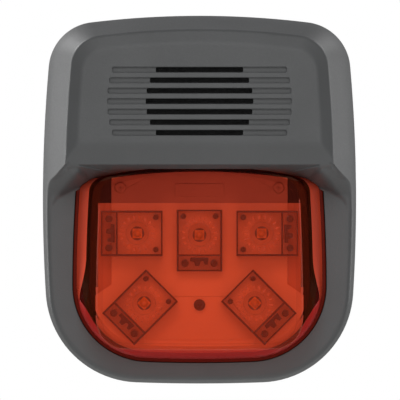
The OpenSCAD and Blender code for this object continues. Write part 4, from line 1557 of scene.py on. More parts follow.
@dataclass
class HousingInside:
    """Posts, bosses, hinge claws and the lock boss inside the cover. Sizes are in millimetres."""

    upper_post: Plan = (44.0, 46.0)
    lower_post: Plan = (50.3, -20.0)
    ear_post: Plan = (25.5, 35.7)
    lens_post: Plan = (38.0, 16.2)
    board_z: float = 22.2
    roof_z: float = 53.4
    chamfer_z: float = 52.4
    pilot: float = 1.15
    hinge: Plan = (61.0, 8.8)
    bar_r: float = 1.75
    claw_wall: float = 1.6
    claw_x: tuple[float, float] = (23.5, 32.5)
    claw_root: float = 66.2
    lock_z: float = 9.0
    lock_half: float = 4.6
    lock_y: tuple[float, float, float] = (-66.8, -61.6, -57.6)
    lock_bores: tuple[float, float] = (3.15, 2.5)
    form: Form = field(default_factory=Form)

    def post(self, at: Plan, r: float, low: float, high: float, bore: float, depth: float,
             flare: float = 0.9) -> None:
        """Adds a pair of posts with pilot bores and a flare at the root.

        Args:
            at: Its axis.
            r: Radius.
            low: End with the bore.
            high: End in the roof.
            bore: Radius of the bore.
            depth: Depth of the bore.
            flare: Width of the flare at the root.
        """
        for side in (-1, 1):
            self.form.turned((side * at[0], at[1]), [
                (0, low + depth), (bore, low + depth), (bore, low + 0.35), (bore + 0.35, low),
                (r - 0.3, low), (r, low + 0.3), (r, high - 1.4), (r + 0.28 * flare, high - 0.6),
                (r + flare, high), (0, high)])

    def claws(self) -> None:
        """Adds the two claws that hook over the hinge bar."""
        y, z = self.hinge
        r, big = self.bar_r, self.bar_r + self.claw_wall
        mouth = asin(r / big)

        def arc(radius: float, start: float, end: float, steps: int) -> list[Plan]:
            """Points of an arc about the hinge."""
            turns = [lerp(start, end, i / steps) for i in range(steps + 1)]
            return [(y + radius * cos(a), z + radius * sin(a)) for a in turns]

        plan = [*arc(big, -pi + mouth, -pi / 2, 8),
                (self.claw_root, z - big), (self.claw_root, z + big),
                *arc(big, pi / 2, pi - mouth, 8), *arc(r, pi / 2, -pi / 2, 14)]
        for low, high in (self.claw_x, (-self.claw_x[1], -self.claw_x[0])):
            self.form.prism(plan, low, high, 0.15, place=lambda a, b, h: (h, a, b))

    def lock_boss(self) -> None:
        """Adds the boss that holds the lock screw's insert, with its stepped bore."""
        front, step, back = self.lock_y
        wide, narrow = (circle((0, self.lock_z), r, 32) for r in self.lock_bores)
        half = self.lock_half
        block = rectangle(-half, self.lock_z - half, half, self.lock_z + half)
        small = shrink(block, 0.3)

        sides = ((block, front), (block, back - 0.3), (small, back))
        bores = ((narrow, back), (narrow, step), (wide, step), (wide, front))
        for levels in (sides, bores):
            self.form.loft([[(a, y, b) for a, b in plan] for plan, y in levels])
        self.form.close(small, lambda a, b: (a, back, b), 0, [narrow])
        self.form.close(block, lambda a, b: (a, front, b), 0, [wide])

    def build(self) -> None:
        """Makes the cover's inside."""
        self.post(self.upper_post, 3.4, self.board_z, self.chamfer_z, self.pilot, 3.6, 0.0)
        self.post(self.lower_post, 3.0, self.board_z, 27.2, self.pilot, 3.6)
        self.post(self.ear_post, 3.0, 44.0, self.roof_z + 0.6, self.pilot, 7.0)
        self.post(self.lens_post, 2.2, 28.5, self.roof_z - 0.4, 0.95, 6.9)
        x, y = self.lower_post
        for side in (-1, 1):
            a, b = sorted((side * (x + 2), side * 56.0))
            self.form.prism(rectangle(a, y - 1.2, b, y + 1.2), self.board_z, 26.2, 0.15)
            a, b = sorted((side * 15.0, side * 23.0))
            self.form.prism(rectangle(a, -66.0, b, -62.0), 25.3, 26.3, 0.15)
        self.claws()
        self.lock_boss()
        self.form.build("housing_inside", [Shade.HOUSING], "cover")


class LensPart(Enum):
    """Number of each zone's finish on the lens."""

    FACET = 0
    SHOULDER = 1
    EDGE = 2
    RIM = 3
    WALL = 4
    SLOPE = 5
    TOP = 6
    INNER = 7


@dataclass
class StrobeLens:
    """Tinted lens: a flat-fronted dome with a folded upper slope, on a rim and a flange.

    Sizes are in millimetres. A ring is [side inset, top inset, upper radius, lower radius, z].
    """

    base: Outline = Outline(90, 13.6, -58.4, 6, 26, top_crown=5.0)
    opening: Outline = Outline(93.3, 15.2, -59.9, 8, 28, top_crown=5.0)
    front_z: float = 51.2
    rim_z: float = 32.4
    flange_z: float = 26.4
    flange_t: float = 2.0
    flange_w: float = 3.0
    wall: float = 2.0
    gap: float = 0.35
    fold_y: float = -1.2
    fold_drop: float = 1.2
    wall_top: float = 40.0
    strip_ends: tuple[float, float] = (-42.0, -20.0)
    corner_tuck: float = 0.992
    edge_share: float = 0.09
    facet_edge: float = 0.45
    slope_y: float = -36.0
    rings: tuple[tuple[float, ...], ...] = (
        (0, 0, 6, 26, 32.4),
        (3.6, 0.2, 6, 23, 43.2),
        (5.0, 0.5, 6, 19, 48.2),
        (7.5, 0.8, 6, 10.0, 51.2),
    )
    form: Form = field(default_factory=Form)

    def ring(self, r: Sequence[float], g: float = 0.0) -> Outline:
        """Outline of one ring, grown by g.

        Args:
            r: The ring.
            g: Growth.

        Returns:
            The outline.
        """
        b = self.base
        return replace(b, width=b.width + 2 * (g - r[0]), top=b.top + g - r[1],
                       bottom=b.bottom - g + r[0] / 2, upper_r=r[2] + g, lower_r=r[3] + g)

    def shape(self, z: float) -> Outline:
        """Outline of the dome at a distance from the wall.

        Args:
            z: The distance.

        Returns:
            The outline.
        """
        zs = [r[4] for r in self.rings]
        k = min(max(int(np.searchsorted(zs, z)) - 1, 0), len(zs) - 2)
        f = min(max((z - zs[k]) / (zs[k + 1] - zs[k]), 0), 1)
        return self.ring([lerp(a, b, f) for a, b in zip(self.rings[k], self.rings[k + 1])])

    def roof(self, y: float) -> float:
        """Distance from the wall to the folded front at the height y."""
        drop = max(y - self.fold_y, 0) / (self.base.top - self.fold_y)
        return self.front_z - self.fold_drop * drop

    def roof_height(self, profile: Profile) -> float:
        """Height at which the lens's front passes under the hood."""
        return halve(6.0, self.base.top, 30, lambda y: profile.z(y) < self.roof(y) + self.gap)[0]

    def half_width(self, y: float, z: float) -> float:
        """Half width of the dome at a height and a distance from the wall."""
        return self.shape(z).x_at(y)

    def dome(self, us: Sequence[float], g: float) -> list[np.ndarray]:
        """Rings of the dome's side and shoulder, grown by g, from the rim to the front.

        The side wall narrows to nothing towards the lower corners, where the shoulder takes over.

        Args:
            us: Stations of the rings.
            g: Growth, negative for the inner skin.

        Returns:
            The rings, as points.
        """
        rings = []
        for r in self.rings:
            plan = np.array(self.ring(r, g).ring(us))
            lift = g if r[4] > self.wall_top else 0.0
            z = np.minimum(r[4] + lift, [self.roof(y) + g for y in plan[:, 1]])
            rings.append(np.column_stack([plan, z]))
        foot, knee, brow, front = rings
        share = np.array([smooth_step(y, *self.strip_ends) for y in foot[:, 1]])[:, None]
        knee[:, :2] = lerp(foot[:, :2] * self.corner_tuck, knee[:, :2], share)
        brow[:, :2] = lerp(lerp(knee[:, :2], front[:, :2], 0.3), brow[:, :2], share)
        soft = self.edge_share
        levels = [foot]
        for before, here, after in ((foot, knee, brow), (knee, brow, front)):
            levels += [lerp(here, before, soft), here, lerp(here, after, soft)]
        return [*levels, lerp(front, brow, 2 * soft), front]

    def facet(self, ring: Ring, g: float, paints: tuple[int, int]) -> None:
        """Closes the front of one skin.

        Args:
            ring: The last ring of the dome.
            g: Growth of the skin.
            paints: Finishes of the flat front and of the folded slope.
        """
        soft, middle_y = self.facet_edge, (self.base.bottom + self.base.top) / 2
        inner = []
        for x, y, _ in ring:
            far = hypot(x, middle_y - y)
            inner.append((x - soft * x / far, y + soft * (middle_y - y) / far))
        fold = self.fold_y
        plan, triangles = fill(inner, [], [((-60, fold), (60, fold))])
        numbers = self.form.add([(x, y, self.roof(y) + g) for x, y in plan])
        for t in triangles:
            middle = sum(plan[i][1] for i in t) / 3
            self.form.face([numbers[i] for i in t], paints[0] if middle < fold else paints[1])
        low = self.form.add(ring)
        high = self.form.add([(x, y, self.roof(y) + g) for x, y in inner])
        for i in range(len(low)):
            j = (i + 1) % len(low)
            # on the outer skin, below the fold, the band round the flat front takes the lighter haze: a painted
            # highlight along the facet's edge
            framed = g == 0 and inner[i][1] < fold
            paint = LensPart.EDGE.value if framed else LensPart.SHOULDER.value
            self.form.face((low[i], low[j], high[j], high[i]), paint)

    def skin(self, rings: Sequence[Ring], paints: list[int], foot: Ring, low_paint: int) -> None:
        """Joins the rings of one skin, with a finish of its own round the lower end.

        Args:
            rings: Rings from the flange to the front.
            paints: Finish of each strip between two rings.
            foot: Ring that tells which stations are low.
            low_paint: Finish of the wall and shoulder at the low stations.
        """
        first = len(self.form.faces)
        rows = self.form.loft(rings, paints)
        # faces below slope_y take low_paint; on the outer skin that finish's brighter haze is painted light
        # round the lens's lower end
        low = {row[j] for row in rows for j, p in enumerate(foot) if p[1] < self.slope_y}
        for k in range(first, len(self.form.faces)):
            if self.form.paint[k] != LensPart.RIM.value and low.issuperset(self.form.faces[k]):
                self.form.paint[k] = low_paint

    def build(self) -> None:
        """Makes the lens."""
        us = stations(4, 18, 24, 14, 8)
        foot = self.opening.inset(-self.flange_w)
        foot = replace(foot, top=foot.top + 1.5)
        mouth = self.opening.inset(self.gap)
        edge, rim_top = 0.35, self.rim_z

        def level(shape: Outline, z: float) -> list[tuple[float, ...]]:
            """Ring of an outline at one level."""
            return [(x, y, z) for x, y in shape.ring(us)]

        z0, z1 = self.flange_z, self.flange_z + self.flange_t
        skirt = [level(foot, z0), level(foot, z1), level(mouth, z1), level(mouth, rim_top - edge),
                 level(mouth.inset(edge), rim_top)]
        outer = self.dome(us, 0)
        inner = self.dome(us, -self.wall)
        inner[0][:, 2] = z0
        # the two strips of the steep side wall take the bright-haze finish: painted light of the side lamps
        # shining through it
        wall, edge_paint = LensPart.WALL.value, LensPart.SHOULDER.value
        side = [wall, wall] + [edge_paint] * (len(outer) - 3)
        # the rim and flange strips take the dark finish: painted shade of the gap round the lens
        self.skin([*skirt, *outer], [LensPart.RIM.value] * len(skirt) + side, outer[0], LensPart.SLOPE.value)
        self.form.loft([skirt[0], inner[0]], [LensPart.RIM.value])
        self.skin(inner, [edge_paint] * (len(inner) - 1), inner[0], LensPart.INNER.value)
        # the folded slope's darker finish is painted shade of the hood over it
        self.facet(outer[-1], 0, (LensPart.FACET.value, LensPart.TOP.value))
        self.facet(inner[-1], -self.wall, (LensPart.INNER.value, LensPart.INNER.value))
        shades = [Shade.LENS_FACET, Shade.LENS_SHOULDER, Shade.LENS_EDGE_PAINTED_HIGHLIGHT, Shade.LENS_RIM_PAINTED_SHADE, Shade.LENS_WALL_PAINTED_LIGHT,
                  Shade.LENS_SLOPE_PAINTED_LIGHT, Shade.LENS_TOP_PAINTED_SHADE, Shade.LENS_INNER]
        self.form.build("tinted_lens", shades, "cover", ["lens"], sharp=24)


# ------------ strobe


@dataclass(frozen=True)
class Place:
    """Where one optic lies and which way it throws its light."""

    node: str
    centre: Plan
    angle: float


OPTIC_PLACES: tuple[Place, ...] = (
    Place("optic_left", (-24.8, -12.3), 180),
    Place("optic_center", (0, -14.9), 270),
    Place("optic_right", (24.8, -12.3), 0),
    Place("optic_lower_left", (-21.7, -39.3), 225),
    Place("optic_lower_right", (21.7, -39.3), 315),
)


class OpticPart(Enum):
    """Number of each finish on an optic."""

    CLEAR = 0
    EDGE = 1
    PIN = 2
    DISH = 3


@dataclass
class StrobeOptic:
    """Side-throwing optic over one LED: a clear wedge between two cheeks, on four posts.

    Sizes are in millimetres; u runs towards the side that the light leaves by.
    """

    place: Place
    base_z: float = 33.0
    length: float = 22.5
    width: float = 16.6
    height: float = 9.6
    cheek: float = 0.7
    ledge: float = 5.9
    led_u: float = -2.0
    cup_r: float = 4.4
    cup_w: float = 0.45
    rib: float = 0.5
    form: Form = field(default_factory=Form)

    def wedge(self) -> None:
        """Adds the clear wedge, with its ledge and its sloping back."""
        half, z = self.length / 2 - self.rib, self.base_z
        step = self.length / 2 - self.ledge
        top = z + self.height - 1.6
        side = [(-half, z + 0.1), (half, z + 0.1), (half, z + 1.8), (step, z + 1.8), (step, top),
                (self.led_u + 1, top), (self.led_u - 3, z + self.height * 0.55), (-half, z + 2.6)]
        reach = self.width / 2 - self.cheek - 0.15
        self.form.prism(side, -reach, reach, 0.3, OpticPart.CLEAR.value, lambda a, b, h: (a, -h, b))

    def frame(self) -> None:
        """Adds the cheeks, the end ribs and the wall between the wedge and its ledge."""
        half, w, z = self.length / 2, self.width / 2, self.base_z
        step = half - self.ledge
        low, high = z + 0.1, z + self.height * 0.8
        # the cheeks and walls take the darkened finish: painted shade for the optic's dark refraction lines
        edge = OpticPart.EDGE.value
        for side in (-1, 1):
            a, b = sorted((side * (w - self.cheek), side * w))
            self.form.prism(rectangle(-half, a, half, b), low, high, 0.15, edge)
        v = w - self.cheek
        walls = ((-half, -half + self.rib, low, z + 3.6), (half - self.rib, half, low, z + 4.6),
                 (step - 0.25, step + 0.35, z + 1.9, z + self.height))
        for start, end, foot, top in walls:
            self.form.prism(rectangle(start, -v, end, v), foot, top, 0.12, edge)

    def cup(self) -> None:
        """Adds the white dish round the LED and the collimating cup over it."""
        z, r, w = self.base_z, self.cup_r, self.cup_w
        foot, top = z + 2.9, z + self.height - 1.2
        profile = [(r - w, foot), (r, foot), (r + 0.7, top), (r + 0.7 - w, top), (r - w, foot)]
        self.form.turned((self.led_u, 0), profile, OpticPart.CLEAR.value, 28)
        dish = [(2.55, z - 1.25), (4.05, z - 1.25), (4.15, z - 1.1), (4.15, z + 0.05), (3.95, z + 0.05),
                (3.75, z - 0.1), (2.75, z - 0.95), (2.55, z - 1.1), (2.55, z - 1.25)]
        self.form.turned((self.led_u, 0), dish, OpticPart.DISH.value, 32)
        lens = [(0, z + 1.9), (1.6, z + 1.9), (2.0, z + 2.6), (1.5, z + 3.5), (0.8, z + 3.95), (0, z + 4.1)]
        self.form.turned((self.led_u, 0), lens, OpticPart.CLEAR.value, 24)

    def posts(self) -> None:
        """Adds the posts with their dark pins, and the snap hooks on the ledge."""
        half, z = self.length / 2, self.base_z
        dark = OpticPart.PIN.value
        for side in (-1, 1):
            for u, v, r, pin, h in ((half - 2.9, 5.3, 1.6, 1.25, 5.2), (-half + 2.4, 5.9, 1.3, 0.95, 4.8)):
                at, top = (u, side * v), z + h
                post = [(0, z), (r, z), (r, top - 0.3), (r - 0.3, top), (pin, top), (pin, top - 1)]
                end = [(0, top - 1), (pin, top - 1), (pin, top + 0.3), (pin - 0.3, top + 0.5), (0, top + 0.5)]
                self.form.turned(at, post)
                self.form.turned(at, end, dark)
        hook = [(0, -3.3), (1.3, -3.5), (1.5, -1.9), (3.0, -1.5), (3.1, -0.1), (1.3, 0.4), (1.1, 1.4),
                (2.6, 2.0), (2.5, 3.0), (0, 3.3)]
        root = half - self.ledge + 0.9
        self.form.prism([(root + u, v) for u, v in hook], z + 2.0, z + 5.4, 0.15, dark)

    def build(self) -> None:
        """Makes the optic."""
        self.form.centre, self.form.turn = self.place.centre, radians(self.place.angle)
        self.wedge()
        self.frame()
        self.cup()
        self.posts()
        shades = [Shade.CLEAR, Shade.SMOKE, Shade.BLACK, Shade.WHITE]
        self.form.build(f"{self.place.node}_moulding", shades, "cover", [self.place.node], sharp=30)


@dataclass
class ReflectorTrim:
    """Sloping skirt round the reflector's lower edge, cap over the board link and pale strips on the board.

    Sizes are in millimetres. The skirt sweeps a closed section, of insets and heights, along the
    outline's lower part, and the section flattens over the heights of fade, up the sides.
    """

    outline: Outline = Outline(81, 11, -54.5, 8, 22)
    side_reach: float = 2.4
    fade: tuple[float, float] = (37.0, 46.0)
    inner_inset: float = 3.4
    top_y: float = -31.5
    plate_z: float = 32.9
    foot_z: float = 31.75
    outer_z: float = 29.9
    cap: tuple[float, float, float, float] = (-9.0, 1.1, 9.0, 5.9)
    cap_z: tuple[float, float] = (33.0, 33.4)
    margin: tuple[Plan, ...] = ((31.6, -31.6), (37.2, -34.4), (37.2, -1.2), (31.6, -1.2))
    margin_z: tuple[float, float] = (31.61, 31.7)

    def build(self) -> None:
        """Makes the skirt, the cap and the margins."""
        form = Form()
        us = [u for u in stations(4, 18, 40, 4, 4) if self.outline.at(u)[1] < self.top_y]
        plate, foot, outer = self.plate_z, self.foot_z, self.outer_z
        section = ((self.inner_inset, plate), (1.2, foot + 0.35), (-0.1, foot), (-1.4, outer),
                   (-1.7, outer - 0.4), (-1.1, outer - 0.4), (-0.35, foot - 1.0), (-0.2, foot - 0.1),
                   (1.2, foot), (self.inner_inset, plate - 0.5))
        rows = []
        for inset, z in section:
            half = []
            for u in us:
                share = smooth_step(-self.outline.at(u)[1], *self.fade)
                x, y = self.outline.inset(lerp(max(inset, self.side_reach), inset, share)).at(u)
                half.append((x, y, lerp(max(z, foot - 0.1), z, share)))
            rows.append(form.add([(-x, y, z) for x, y, z in reversed(half[1:])] + half))
        for k, row in enumerate(rows):
            form.strip(row, rows[(k + 1) % len(rows)], closed=False)
        form.face([row[0] for row in rows])
        form.face([row[-1] for row in reversed(rows)])
        form.prism(rectangle(*self.cap), *self.cap_z, 0.12)
        left = [(-x, y) for x, y in reversed(self.margin)]
        # the pale strips beside the tray, one on each side
        for plan in (self.margin, left):
            form.prism(plan, *self.margin_z, 0.02, 1)
        form.build("reflector_trim", [Shade.WHITE, Shade.PALE_BOARD_STRIP], "cover", sharp=50)


@dataclass(frozen=True)
class OpticPetals:
    """Facets that fan out round each LED's cup."""

    count: int = 18
    radius: float = 5.9
    length: float = 1.7
    width: float = 0.75
    height: float = 0.7
    z: float = 41.3

    def build(self) -> None:
        """Makes the petals of all five optics."""
        p = Pattern("optic_petals")
        radius, length = p.size("Radius", self.radius), p.size("Length", self.length)
        width, height = p.size("Width", self.width), p.size("Height", self.height)
        ring = p.add("MeshCircle", {"Vertices": self.count, "Radius": radius})
        x, y, _ = p.here()
        turn = p.xyz(z=p.math("ARCTAN2", y, x))
        facet = p.add("MeshCone", {"Vertices": 4, "Radius Top": 0.55, "Radius Bottom": 0.7072, "Depth": 1.0})
        facet = p.add("Transform", {"Geometry": facet, "Rotation": (0.0, 0.0, pi / 4)})
        facet = p.add("Transform", {"Geometry": facet, "Scale": p.xyz(length, width, height)})
        fan = p.add("InstanceOnPoints", {"Points": ring, "Instance": facet, "Rotation": turn})
        seats = []
        for place in OPTIC_PLACES:
            a = radians(place.angle)
            (x, y), u = place.centre, StrobeOptic(place).led_u
            seats.append(Seat((x + u * cos(a), y + u * sin(a), self.z), place.angle))
        p.piece(fan, "optic_petals", seats, Shade.PETAL)


# ------------ fastenings and mesh


@dataclass(frozen=True)
class ScrewSet:
    """Cross-recessed screws of one size. Sizes are in millimetres."""

    name: str
    seats: tuple[Seat, ...]
    r: float
    length: float
    head_r: float
    head_h: float
    shade: Shade
    stands_for: tuple[str, ...] = ()
    pitch: float = 0.85

    def build(self) -> None:
        """Makes the screws."""
        p = Pattern(self.name)
        r, length = p.size("Shank Radius", self.r), p.size("Length", self.length)
        head_r, head_h = p.size("Head Radius", self.head_r), p.size("Head Height", self.head_h)
        along = p.add("SplineParameter", {})
        past = p.ramp(along, 0.5)
        drop = p.times(p.times(past, past), 0.5)
        crown = p.times(p.math("SQRT", p.math("SUBTRACT", 1.0, drop)), head_r)
        head = p.rod(p.xyz(), p.xyz(z=head_h), 9, 20, crown)
        depth = p.times(head_h, 0.9)
        long, short = p.times(head_r, 1.2), p.times(head_r, 0.24)
        cubes = [p.add("MeshCube", {"Size": p.xyz(a, b, depth)}) for a, b in ((long, short), (short, long))]
        bars = [p.add("Transform", {"Geometry": cube, "Translation": p.xyz(z=head_h)}) for cube in cubes]
        head = p.add("MeshBoolean", {"Mesh 1": head, "Mesh 2": bars}, operation="DIFFERENCE")
        core = p.times(r, p.math("SUBTRACT", 0.82, p.times(p.ramp(along, 0.82), 0.5)))
        shank = p.rod(p.xyz(z=p.times(head_h, 0.2)), p.xyz(z=p.times(length, -1.0)), 12, 12, core)
        run = p.times(length, 0.86)
        turns = p.math("DIVIDE", run, p.size("Thread Pitch", self.pitch))
        coil_r = p.times(r, 0.84)
        coil = p.add("CurveSpiral", {"Resolution": 14, "Rotations": turns, "Start Radius": coil_r,
                                     "End Radius": coil_r, "Height": run})
        tooth = p.add("CurvePrimitiveCircle", {"Resolution": 3, "Radius": p.times(r, 0.16)})
        drop_to = p.xyz(z=p.times(run, -1.0))
        thread = p.add("Transform", {"Geometry": p.sweep(coil, tooth), "Translation": drop_to})
        screw = p.add("JoinGeometry", {0: [head, shank, thread]})
        p.piece(screw, self.name, self.seats, self.shade, self.stands_for)


def pair(x: float, y: float, z: float, back: bool = True) -> tuple[Seat, Seat]:
    """Two seats, one on each side."""
    return Seat((-x, y, z), 0, back), Seat((x, y, z), 0, back)


SCREW_SETS: tuple[ScrewSet, ...] = (
    ScrewSet("cover_screw_set", pair(44, 46, 17.8) + pair(50.3, -20, 17.8), 1.1, 7.6, 2.3, 1.7, Shade.STEEL,
             ("cover_screws",)),
    ScrewSet("lens_screw_set", pair(38, 16.2, 26.4), 0.9, 8.0, 1.9, 1.3, Shade.STEEL, ("lens_screws",)),
    ScrewSet("sounder_screw_set", pair(25.5, 35.7, 41.5), 1.1, 9.0, 2.3, 1.6, Shade.STEEL, ("sounder_screws",)),
    ScrewSet("spacer_screw_set", pair(29, 4.4, 20.6) + (Seat((0, -38.5, 20.6), 0, True),), 1.2, 4.6, 2.1, 1.5,
             Shade.STEEL, ("spacer_screws",)),
    ScrewSet("reflector_screw_pair", pair(29, 4.4, 33, False), 1.2, 6.0, 2.1, 1.5, Shade.WHITE),
    ScrewSet("reflector_screw", (Seat((0, -38.5, 33)),), 1.2, 6.0, 2.1, 1.5, Shade.BLACK, ("strobe_screws",)),
)


@dataclass(frozen=True)
class WovenMesh:
    """Fine woven mesh behind the grille, in a thin rim. Sizes are in millimetres."""

    centre: Plan = (0.0, 35.7)
    z: float = 53.46
    radius: float = 20.2
    half: float = 14.8
    pitch: float = 0.7
    wire: float = 0.08
    weave: float = 0.05
    rim: tuple[float, float] = (0.5, 0.24)
    backing: tuple[float, float] = (53.2, 53.3)

    def build(self) -> None:
        """Makes the mesh."""
        p = Pattern("woven_mesh")
        radius, half = p.size("Radius", self.radius), p.size("Half Height", self.half)
        pitch, wire = p.size("Pitch", self.pitch), p.size("Wire Radius", self.wire)
        weave = p.size("Weave", self.weave)
        wires = []
        x, y, _ = p.here()
        for across in (False, True):
            reach = half if across else radius
            count = p.math("FLOOR", p.math("DIVIDE", p.math("SUBTRACT", reach, 0.0002), pitch))
            first = p.times(p.times(count, pitch), -1.0)
            total = p.math("ADD", p.times(count, 2.0), 1.0)
            start, step = (p.xyz(y=first), p.xyz(y=pitch)) if across else (p.xyz(x=first), p.xyz(x=pitch))
            row = p.add("MeshLine", {"Count": total, "Start Location": start, "Offset": step})
            off = y if across else x
            left = p.math("SUBTRACT", p.times(radius, radius), p.times(off, off))
            chord = p.math("SQRT", p.math("MAXIMUM", left, 1e-9))
            length = chord if across else p.math("MINIMUM", chord, half)
            end = (1.0, 0.0, 0.0) if across else (0.0, 1.0, 0.0)
            line = p.add("CurvePrimitiveLine", {"Start": tuple(-c for c in end), "End": end})
            scale = p.xyz(length, 1.0, 1.0) if across else p.xyz(1.0, length, 1.0)
            lines = p.add("InstanceOnPoints", {"Points": row, "Instance": line, "Scale": scale})
            lines = p.add("RealizeInstances", {0: lines})
            lines = p.add("ResampleCurve", {"Curve": lines, "Length": p.times(pitch, 0.5)}, mode="LENGTH")
            phase = p.times(p.math("DIVIDE", p.math("ADD", x, y), pitch), pi)
            lift = p.times(p.times(p.math("COSINE", phase), weave), -1.0 if across else 1.0)
            wires.append(p.add("SetPosition", {"Geometry": lines, "Offset": p.xyz(z=lift)}))
        profile = p.add("CurvePrimitiveCircle", {"Resolution": 4, "Radius": wire})
        cloth = p.sweep(p.add("JoinGeometry", {0: wires}), profile)
        edge = p.add("CurvePrimitiveCircle", {"Resolution": 120, "Radius": radius})
        held = p.math("MAXIMUM", p.math("MINIMUM", y, half), p.times(half, -1.0))
        edge = p.add("SetPosition", {"Geometry": edge, "Position": p.xyz(x, held)})
        width, height = (size / 1000 for size in self.rim)
        bar = p.add("CurvePrimitiveQuadrilateral", {"Width": width, "Height": height})
        rim = p.add("CurveToMesh", {"Curve": edge, "Profile Curve": bar})
        part = p.add("JoinGeometry", {0: [cloth, rim]})
        backing = Form()
        disc = circle((0, 0), self.radius, 96)
        plan = [(x, self.centre[1] + min(max(y, -self.half), self.half)) for x, y in disc]
        backing.prism([q for i, q in enumerate(plan) if q != plan[i - 1]], *self.backing, 0.03)
        backing.build("mesh_backing", [Shade.WIRE_MESH], "cover")
        p.piece(part, "woven_mesh", [Seat((*self.centre, self.z))], Shade.WIRE_MESH, ["acoustic_mesh"])


# ------------ CAD nodes as they are


@dataclass(frozen=True)
class Dressing:
    """How a CAD node is dressed: its finish and the width of its rounded edges, in millimetres."""

    node: str
    shade: Shade
    edge: float = 0.15


DRESSINGS: tuple[Dressing, ...] = (
    Dressing("base_plate", Shade.BASE, 0.3),
    Dressing("terminal_block", Shade.GREEN, 0.2),
    Dressing("contact_clips", Shade.COPPER, 0.05),
    *(Dressing(f"terminal_screw_{i}", Shade.STEEL, 0.12) for i in range(1, 5)),
    *(Dressing(f"wire_clamp_{i}", Shade.STEEL, 0.1) for i in range(1, 5)),
    Dressing("lens_gasket", Shade.FOAM, 0.1),
    Dressing("sounder_horn", Shade.BLACK),
    Dressing("sounder_cap", Shade.BLACK, 0.2),
    Dressing("piezo_plate", Shade.BRASS, 0.0),
    Dressing("piezo_ceramic", Shade.CERAMIC, 0.0),
    Dressing("piezo_ring", Shade.FOAM, 0.0),
    Dressing("sounder_lead_red", Shade.RED_SLEEVE, 0.0),
    Dressing("sounder_lead_black", Shade.BLACK_SLEEVE, 0.0),
    Dressing("reflector_tray", Shade.WHITE, 0.2),
    Dressing("strobe_board", Shade.BOARD_BLACK, 0.08),
    Dressing("led_chips", Shade.EMITTER, 0.08),
    Dressing("board_spacers", Shade.BRASS, 0.1),
    Dressing("board_link", Shade.BLACK, 0.1),
    Dressing("main_board", Shade.BOARD_GREEN, 0.08),
    Dressing("storage_capacitors", Shade.CAN, 0.3),
    Dressing("power_inductor", Shade.COPPER),
    Dressing("circuit_chips", Shade.BLACK, 0.12),
    Dressing("contact_pins", Shade.BRASS, 0.1),
    Dressing("dip_switch", Shade.RED, 0.1),
    *(Dressing(f"dip_lever_{i}", Shade.WHITE, 0.1) for i in range(1, 6)),
    Dressing("volume_trimmer", Shade.BLUE),
    Dressing("trimmer_rotor", Shade.WHITE, 0.08),
    Dressing("rear_cover", Shade.BLACK, 0.2),
    Dressing("lock_insert", Shade.BRASS, 0.1),
    Dressing("lock_screw", Shade.STEEL),
    Dressing("lock_clip", Shade.BLACK, 0.05),
)


def dress(node: Piece, dressing: Dressing) -> None:
    """Rounds a CAD node's edges with modifiers and gives it its finish.

    Args:
        node: The node's object.
        dressing: Its finish and edge width.
    """
    mesh = node.data
    mesh.materials.clear()
    mesh.materials.append(dressing.shade.material())
    mesh.polygons.foreach_set("material_index", [0] * len(mesh.polygons))
    mesh.polygons.foreach_set("use_smooth", [True] * len(mesh.polygons))
    custom = mesh.attributes.get("custom_normal")
    if custom:
        mesh.attributes.remove(custom)
    weld = node.modifiers.new("weld", "WELD")
    weld.merge_threshold = 2e-6
    if dressing.edge:
        bevel = node.modifiers.new("rounded_edges", "BEVEL")
        bevel.width = dressing.edge / 1000
        bevel.segments = 2
        bevel.limit_method = "ANGLE"
        bevel.angle_limit = radians(35)
        bevel.harden_normals = True
    else:
        split = node.modifiers.new("sharp_edges", "EDGE_SPLIT")
        split.split_angle = radians(40)


# ------------ studio


@dataclass(frozen=True)
class Lamp:
    """Soft lamp.

    Attributes:
        name: Its name.
        place: Where it stands, in metres.
        size: Width and height, in metres.
        level: Light on a white face turned towards it, where 1 shows white.
    """

    name: str
    place: Point
    size: tuple[float, float]
    level: float


LAMPS: tuple[Lamp, ...] = (
    Lamp("front_lamp", (0.1, -1.7, 0.15), (0.6, 0.6), 0.135),
    Lamp("high_lamp", (-0.1, -1.3, 0.85), (0.5, 0.5), 0.235),
    Lamp("left_rim_lamp", (-0.95, 0.50, 0.10), (0.3, 0.5), 0.37),
    Lamp("right_rim_lamp", (0.95, 0.50, 0.10), (0.3, 0.5), 0.235),
    Lamp("left_corner_lamp", (-0.80, 0.55, 0.75), (0.3, 0.4), 0.62),
    Lamp("right_corner_lamp", (0.80, 0.55, 0.75), (0.3, 0.4), 0.32),
    Lamp("low_lamp", (0.0, -1.3, -0.75), (0.9, 0.4), 0.03),
    Lamp("wide_lamp", (0.0, -1.9, 0.0), (2.4, 1.8), 0.09),
)


